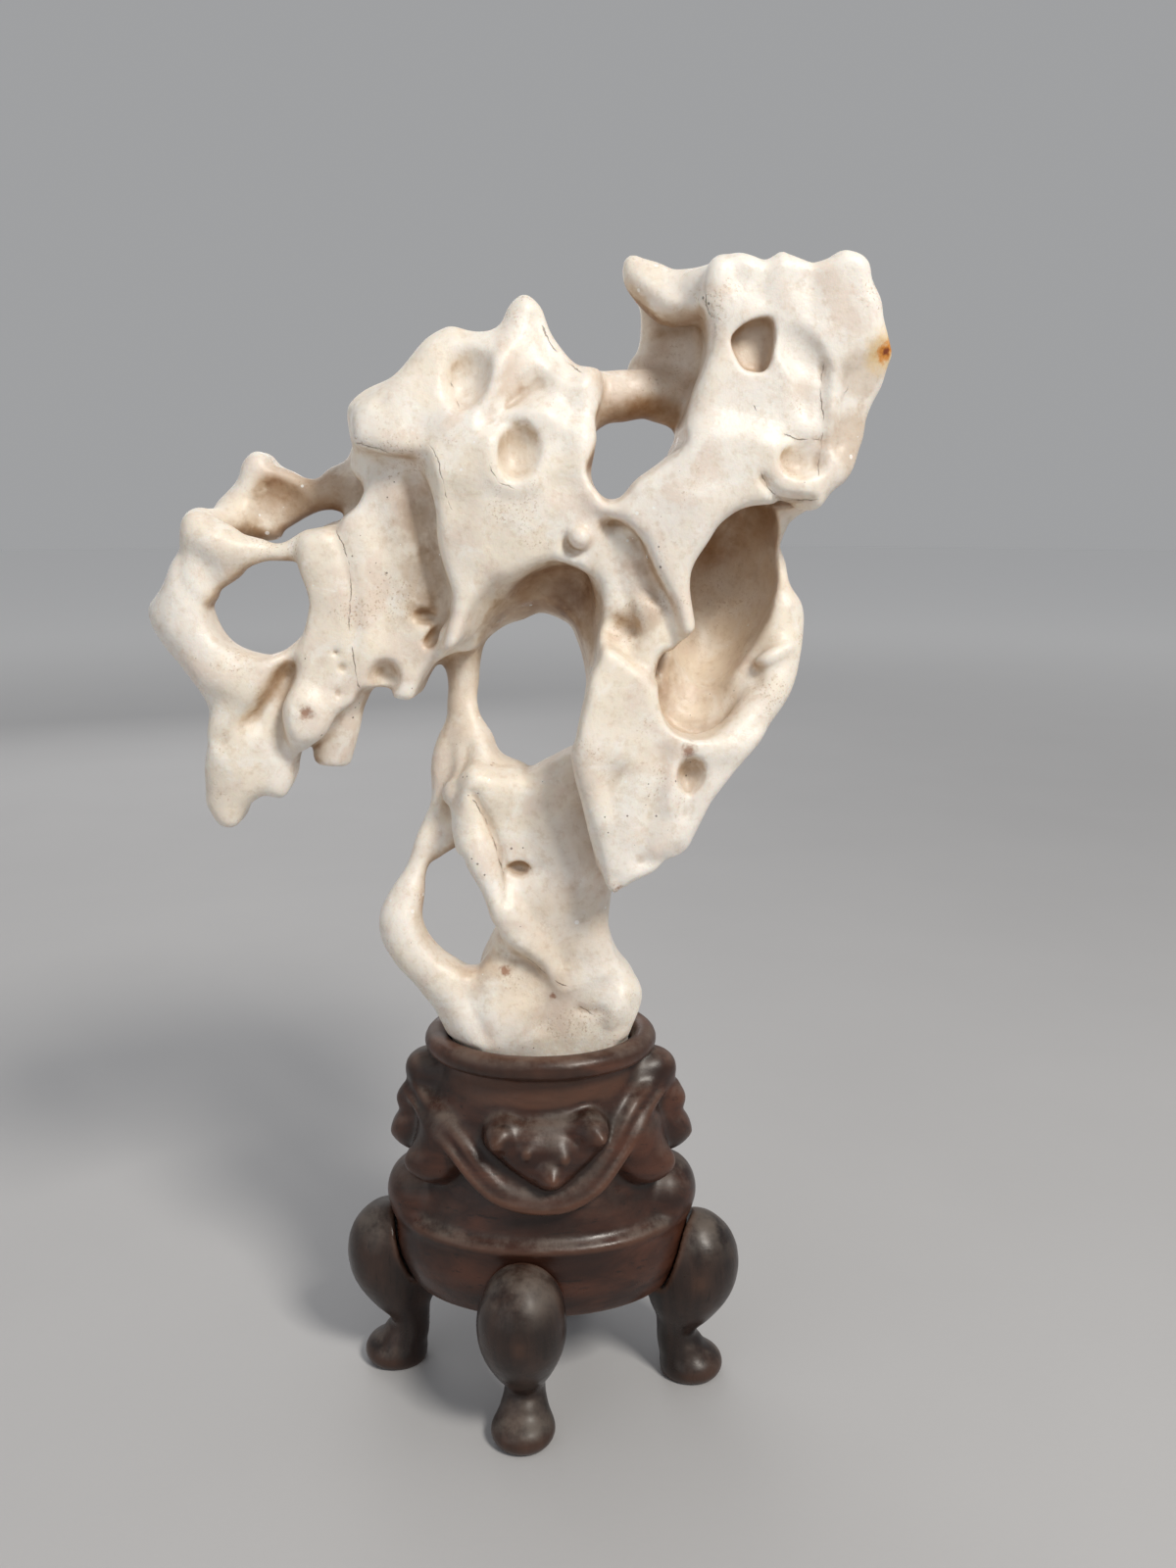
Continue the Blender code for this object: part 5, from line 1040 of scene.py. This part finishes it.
def stone_material():
    """White marble: smooth and a little translucent, with brown dust and painted shade where it is sheltered.
    """
    s = Shader("white_stone")
    colour = s.mix(s.ramp(s.noise(20, 4, 0.6), 0.40, 0.60), CREAM, WARM_CREAM)
    colour = s.mix(s.ramp(s.noise(48, 5, 0.62, warp=0.8), 0.48, 0.64, 0, 0.75), colour, PINK_GREY)
    colour = s.mix(s.ramp(s.noise(85, 5, 0.68, warp=0.5), 0.50, 0.64, 0, 0.65), colour, MILK_WHITE)
    colour = s.mix(s.ramp(s.noise(330, 4, 0.7), 0.48, 0.70, 0, 0.30), colour, TAN)

    # painted shade with brown dust: darker where the stone shelters itself, most of all on what faces down
    fine, sheltered = s.layer("fine_hollow"), s.layer("shelter")
    under = s.ramp(s.upward(), 0.20, -0.50, 0.25, 1.0)
    patchy = s.ramp(s.noise(60, 5, 0.65), 0.3, 0.7, 0.55, 1.0)
    dusty = s.times(under, patchy)
    colour = s.mix(s.times(s.ramp(sheltered, 0.04, 0.40), dusty), colour, PAINTED_SHADE_AND_DUST_TAN, "MULTIPLY")
    colour = s.mix(s.times(s.ramp(sheltered, 0.16, 0.58), dusty), colour, PAINTED_SHADE_AND_DUST_BROWN, "MULTIPLY")
    # painted shade with some brown dust: darker in the fine hollows
    colour = s.mix(s.times(s.ramp(fine, 0.25, 1.0, 0, 0.55), patchy), colour, PAINTED_SHADE_AND_DUST_BROWN)
    swirl = s.ramp(s.noise(90, 4, 0.6), 0.2, 0.8, -0.006, 0.006)
    # painted shade spots, and a few tan tints on the lower body
    for centre, radius, strength in PAINTED_SHADE_AND_TINT_SPOTS:
        away = s.plus(s.distance(centre), swirl)
        near = s.ramp(away, 0.4 * radius * MM, 1.15 * radius * MM, strength, 0)
        colour = s.mix(near, colour, PAINTED_SHADE_AND_TINT_BROWN, "MULTIPLY")
    colour = s.mix(s.ramp(fine, -0.3, -0.9, 0, 0.18), colour, MILK_WHITE)  # worn edges

    # crystals, grazes, specks and cracks
    crystal = s.math("LESS_THAN", s.cells(150), s.ramp(s.noise(30, 3), 0.45, 0.70, 0, 0.13))
    colour = s.mix(s.times(crystal, 0.8), colour, CRYSTAL_WHITE)
    grazed = s.ramp(s.noise(38, 4, 0.6), 0.56, 0.66, 0, 0.5)
    colour = s.mix(s.times(s.ramp(s.noise(1100, 2, 0.6), 0.56, 0.66), grazed), colour, PAINTED_SHADE_AND_DUST_BROWN)
    speck = s.math("LESS_THAN", s.cells(240), s.ramp(s.noise(24, 2), 0.45, 0.75, 0, 0.13))
    colour = s.mix(s.times(speck, 0.7), colour, DARK_BROWN)
    wander = s.ramp(s.noise(400, 3), 0.2, 0.8, -0.35, 0.35)
    across = s.math("ABSOLUTE", s.plus(s.layer("crack_side"), wander))
    crack = s.times(s.ramp(across, 0.04, 0.26, 1, 0), s.ramp(s.layer("crack_near"), 0.35, 0.8))
    crack = s.times(crack, s.ramp(s.noise(160, 2), 0.42, 0.62))
    colour = s.mix(s.times(crack, 0.6), colour, CRACK_BROWN)

    # stains, whose edges are uneven
    ragged = s.ramp(s.noise(450, 3), 0.2, 0.8, -0.0012, 0.0012)
    rust = s.plus(s.distance(RUST), ragged)
    for inner, outer, strength, tint in RUST_RINGS:
        colour = s.mix(s.ramp(rust, inner * MM, outer * MM, strength, 0), colour, tint)
    for centre, radius in BROWN_STAINS:
        stain = s.plus(s.distance(centre), ragged)
        near = s.ramp(stain, 0.3 * radius * MM, 2.0 * radius * MM, 0.75, 0)
        colour = s.mix(near, colour, STAIN_BROWN)

    normal = s.bump(s.noise(48, 3, 0.5), 0.0022, 0.30)
    normal = s.bump(s.noise(170, 5, 0.65), 0.0007, 0.45, normal)
    normal = s.bump(s.noise(750, 3, 0.6), 0.00016, 0.5, normal)
    normal = s.bump(s.times(crack, -1.0), 0.0005, 0.8, normal)
    glint = s.ramp(s.cells(300, "Color"), 0.86, 0.97, 0.42, 0.14)
    rough = s.times(glint, s.ramp(crystal, 0, 1, 1, 0.3))
    return s.finish(
        colour, rough, normal, Subsurface_Weight=0.14, Subsurface_Radius=(1.0, 0.55, 0.32),
        Subsurface_Scale=0.003)


# the darkest and lightest wood, and how much dust lies on it
BODY_WOOD = ((0.022, 0.008, 0.005), (0.078, 0.028, 0.016), 0.34)
LEG_WOOD = ((0.013, 0.008, 0.007), (0.046, 0.024, 0.017), 0.34)
PORE_BROWN = (0.012, 0.006, 0.004)
# painted shade for the carving's hollows
PAINTED_HOLLOW_SHADE = (0.014, 0.008, 0.006)
SMOKE_BROWN = (0.014, 0.009, 0.007)
WORN_BROWN = (0.16, 0.075, 0.045)
GREY_DUST = (0.30, 0.25, 0.21)
# the scales of figure and pores with the grain along x, as in the body, and along z, as in the legs
GRAINS = {"x": ((7, 60, 75), (35, 420, 520)), "z": ((70, 70, 6), (480, 480, 30))}


def wood_material(name, along, dark, light, dusty):
    """Oiled hardwood with its grain along x or z, grey dust in the carving, and painted shade in its hollows.
    """
    s = Shader(name)
    figures, pores = GRAINS[along]
    figure = s.noise(1.0, 4, 0.6, at=s.stretched(figures), warp=0.5)
    colour = s.mix(s.ramp(figure, 0.35, 0.68), dark, light)
    pore = s.ramp(s.noise(1.0, 3, 0.6, at=s.stretched(pores)), 0.60, 0.70)
    colour = s.mix(s.times(pore, 0.7), colour, PORE_BROWN)
    fine = s.layer("fine_hollow")
    # painted shade: darker in the carving's hollows
    colour = s.mix(s.ramp(fine, 0.15, 0.8, 0, 0.7), colour, PAINTED_HOLLOW_SHADE)
    colour = s.mix(s.ramp(s.noise(26, 5, 0.62), 0.46, 0.66, 0, 0.55), colour, SMOKE_BROWN)
    # dust lies on what faces up, and in patches
    cloud = s.ramp(s.noise(75, 5, 0.65), 0.36, 0.66)
    dust = s.times(s.times(s.ramp(s.upward(), 0.15, 0.85), cloud), dusty)
    colour = s.mix(dust, colour, GREY_DUST)
    colour = s.mix(s.ramp(fine, -0.3, -1.0, 0, 0.35), colour, WORN_BROWN)  # worn edges
    rough = s.plus(s.times(dust, 0.5), s.ramp(s.noise(90, 3), 0.3, 0.7, 0.26, 0.42))
    normal = s.bump(pore, 0.0003, -0.5)
    normal = s.bump(s.noise(150, 4, 0.6), 0.0006, 0.35, normal)
    return s.finish(
        colour, rough, normal, Specular_IOR_Level=0.36, Coat_Weight=0.08, Coat_Roughness=0.25)


# ---------------------------------------------------------------- stage
FLOOR_GREYS = ((0.48, 0.48, 0.49), (0.52, 0.52, 0.53))
FAR_WHITE = (0.97, 0.97, 0.97)
FADING = (0.8, 3.2)  # m from the middle, where the floor fades into the background
FLOOR_RADIUS = 9  # m
SKY = (0.97, 0.98, 1.0)
SKY_STRENGTH = 0.36
# name, place and size in m, power in W, colour and the height on the axis that it is aimed at
LIGHTS = [
    ("key_light", (0.855, -1.095, 1.52), 0.42, 27, (1.0, 0.95, 0.87), 0.26),
    ("fill_light", (-0.9, -1.0, 0.5), 1.2, 1.6, (0.95, 0.97, 1.0), 0.24),
    ("back_light", (-0.5, 1.2, 0.9), 1.2, 4, (1.0, 0.98, 0.95), 0.26),
]


def add_floor():
    """A pale round floor that fades into the background."""
    s = Shader("floor_finish")
    far = s.ramp(s.distance((0, 0, 0)), *FADING)
    colour = s.mix(far, s.mix(s.noise(6, 4), *FLOOR_GREYS), FAR_WHITE)
    s.finish(colour, s.ramp(far, 0, 1, 0.6, 1.0), s.bump(s.noise(300, 3), 0.0003, 0.2))
    mesh = bpy.data.meshes.new("floor")
    bm = bmesh.new()
    bmesh.ops.create_circle(bm, cap_ends=True, segments=96, radius=FLOOR_RADIUS)
    bm.to_mesh(mesh)
    bm.free()
    mesh.materials.append(s.material)
    floor = new_object("floor", mesh)


def add_lights():
    """Soft light from the upper right, weak light from the left and behind, and a dim sky."""
    for name, place, size, power, colour, height in LIGHTS:
        lamp = bpy.data.lights.new(name, "AREA")
        lamp.size = size
        lamp.energy = power
        lamp.color = colour
        item = new_object(name, lamp)
        item.location = place
        item.rotation_mode = "QUATERNION"
        item.rotation_quaternion = (Vector((0, 0, height)) - Vector(place)).to_track_quat("-Z", "Y")
    world = bpy.data.worlds.new("studio")
    bpy.context.scene.world = world
    world.use_nodes = True
    background = world.node_tree.nodes["Background"]
    background.inputs["Color"].default_value = (*SKY, 1)
    background.inputs["Strength"].default_value = SKY_STRENGTH
    bpy.context.scene.view_settings.view_transform = "Standard"


def add_camera():
    """A camera that stands like the photographer's."""
    lens = bpy.data.cameras.new("camera")
    lens.sensor_width = FRAME_HEIGHT
    lens.lens = CAMERA_LENS
    lens.clip_start = 0.01
    camera = new_object("camera", lens)
    camera.location = CAMERA_PLACE
    camera.rotation_euler = (math.radians(90 - CAMERA_PITCH), 0, 0)
    bpy.context.scene.camera = camera


# ---------------------------------------------------------------- the scene
def main():
    stone = sculpt_stone(STONE_STEP)
    fit_socket(stone)
    stone.soften(1)
    new_piece("stone", stone, STONE_TRIANGLES, stone_material())

    body_wood = wood_material("dark_hardwood", "x", *BODY_WOOD)
    leg_wood = wood_material("leg_hardwood", "z", *LEG_WOOD)
    body = Clay(STAND_LOW, STAND_HIGH, STAND_STEP)
    sculpt_body(body)
    body.soften(1)
    new_piece("stand_body", body, BODY_TRIANGLES, body_wood)
    for name, (knee, angle) in LEGS.items():
        leg = Clay(STAND_LOW, STAND_HIGH, STAND_STEP)
        sculpt_leg(leg, knee, angle)
        leg.keep_clear(body, GAP)
        leg.soften(1)
        new_piece(name, leg, LEG_TRIANGLES, leg_wood)
    add_floor()
    add_lights()
    add_camera()


main()
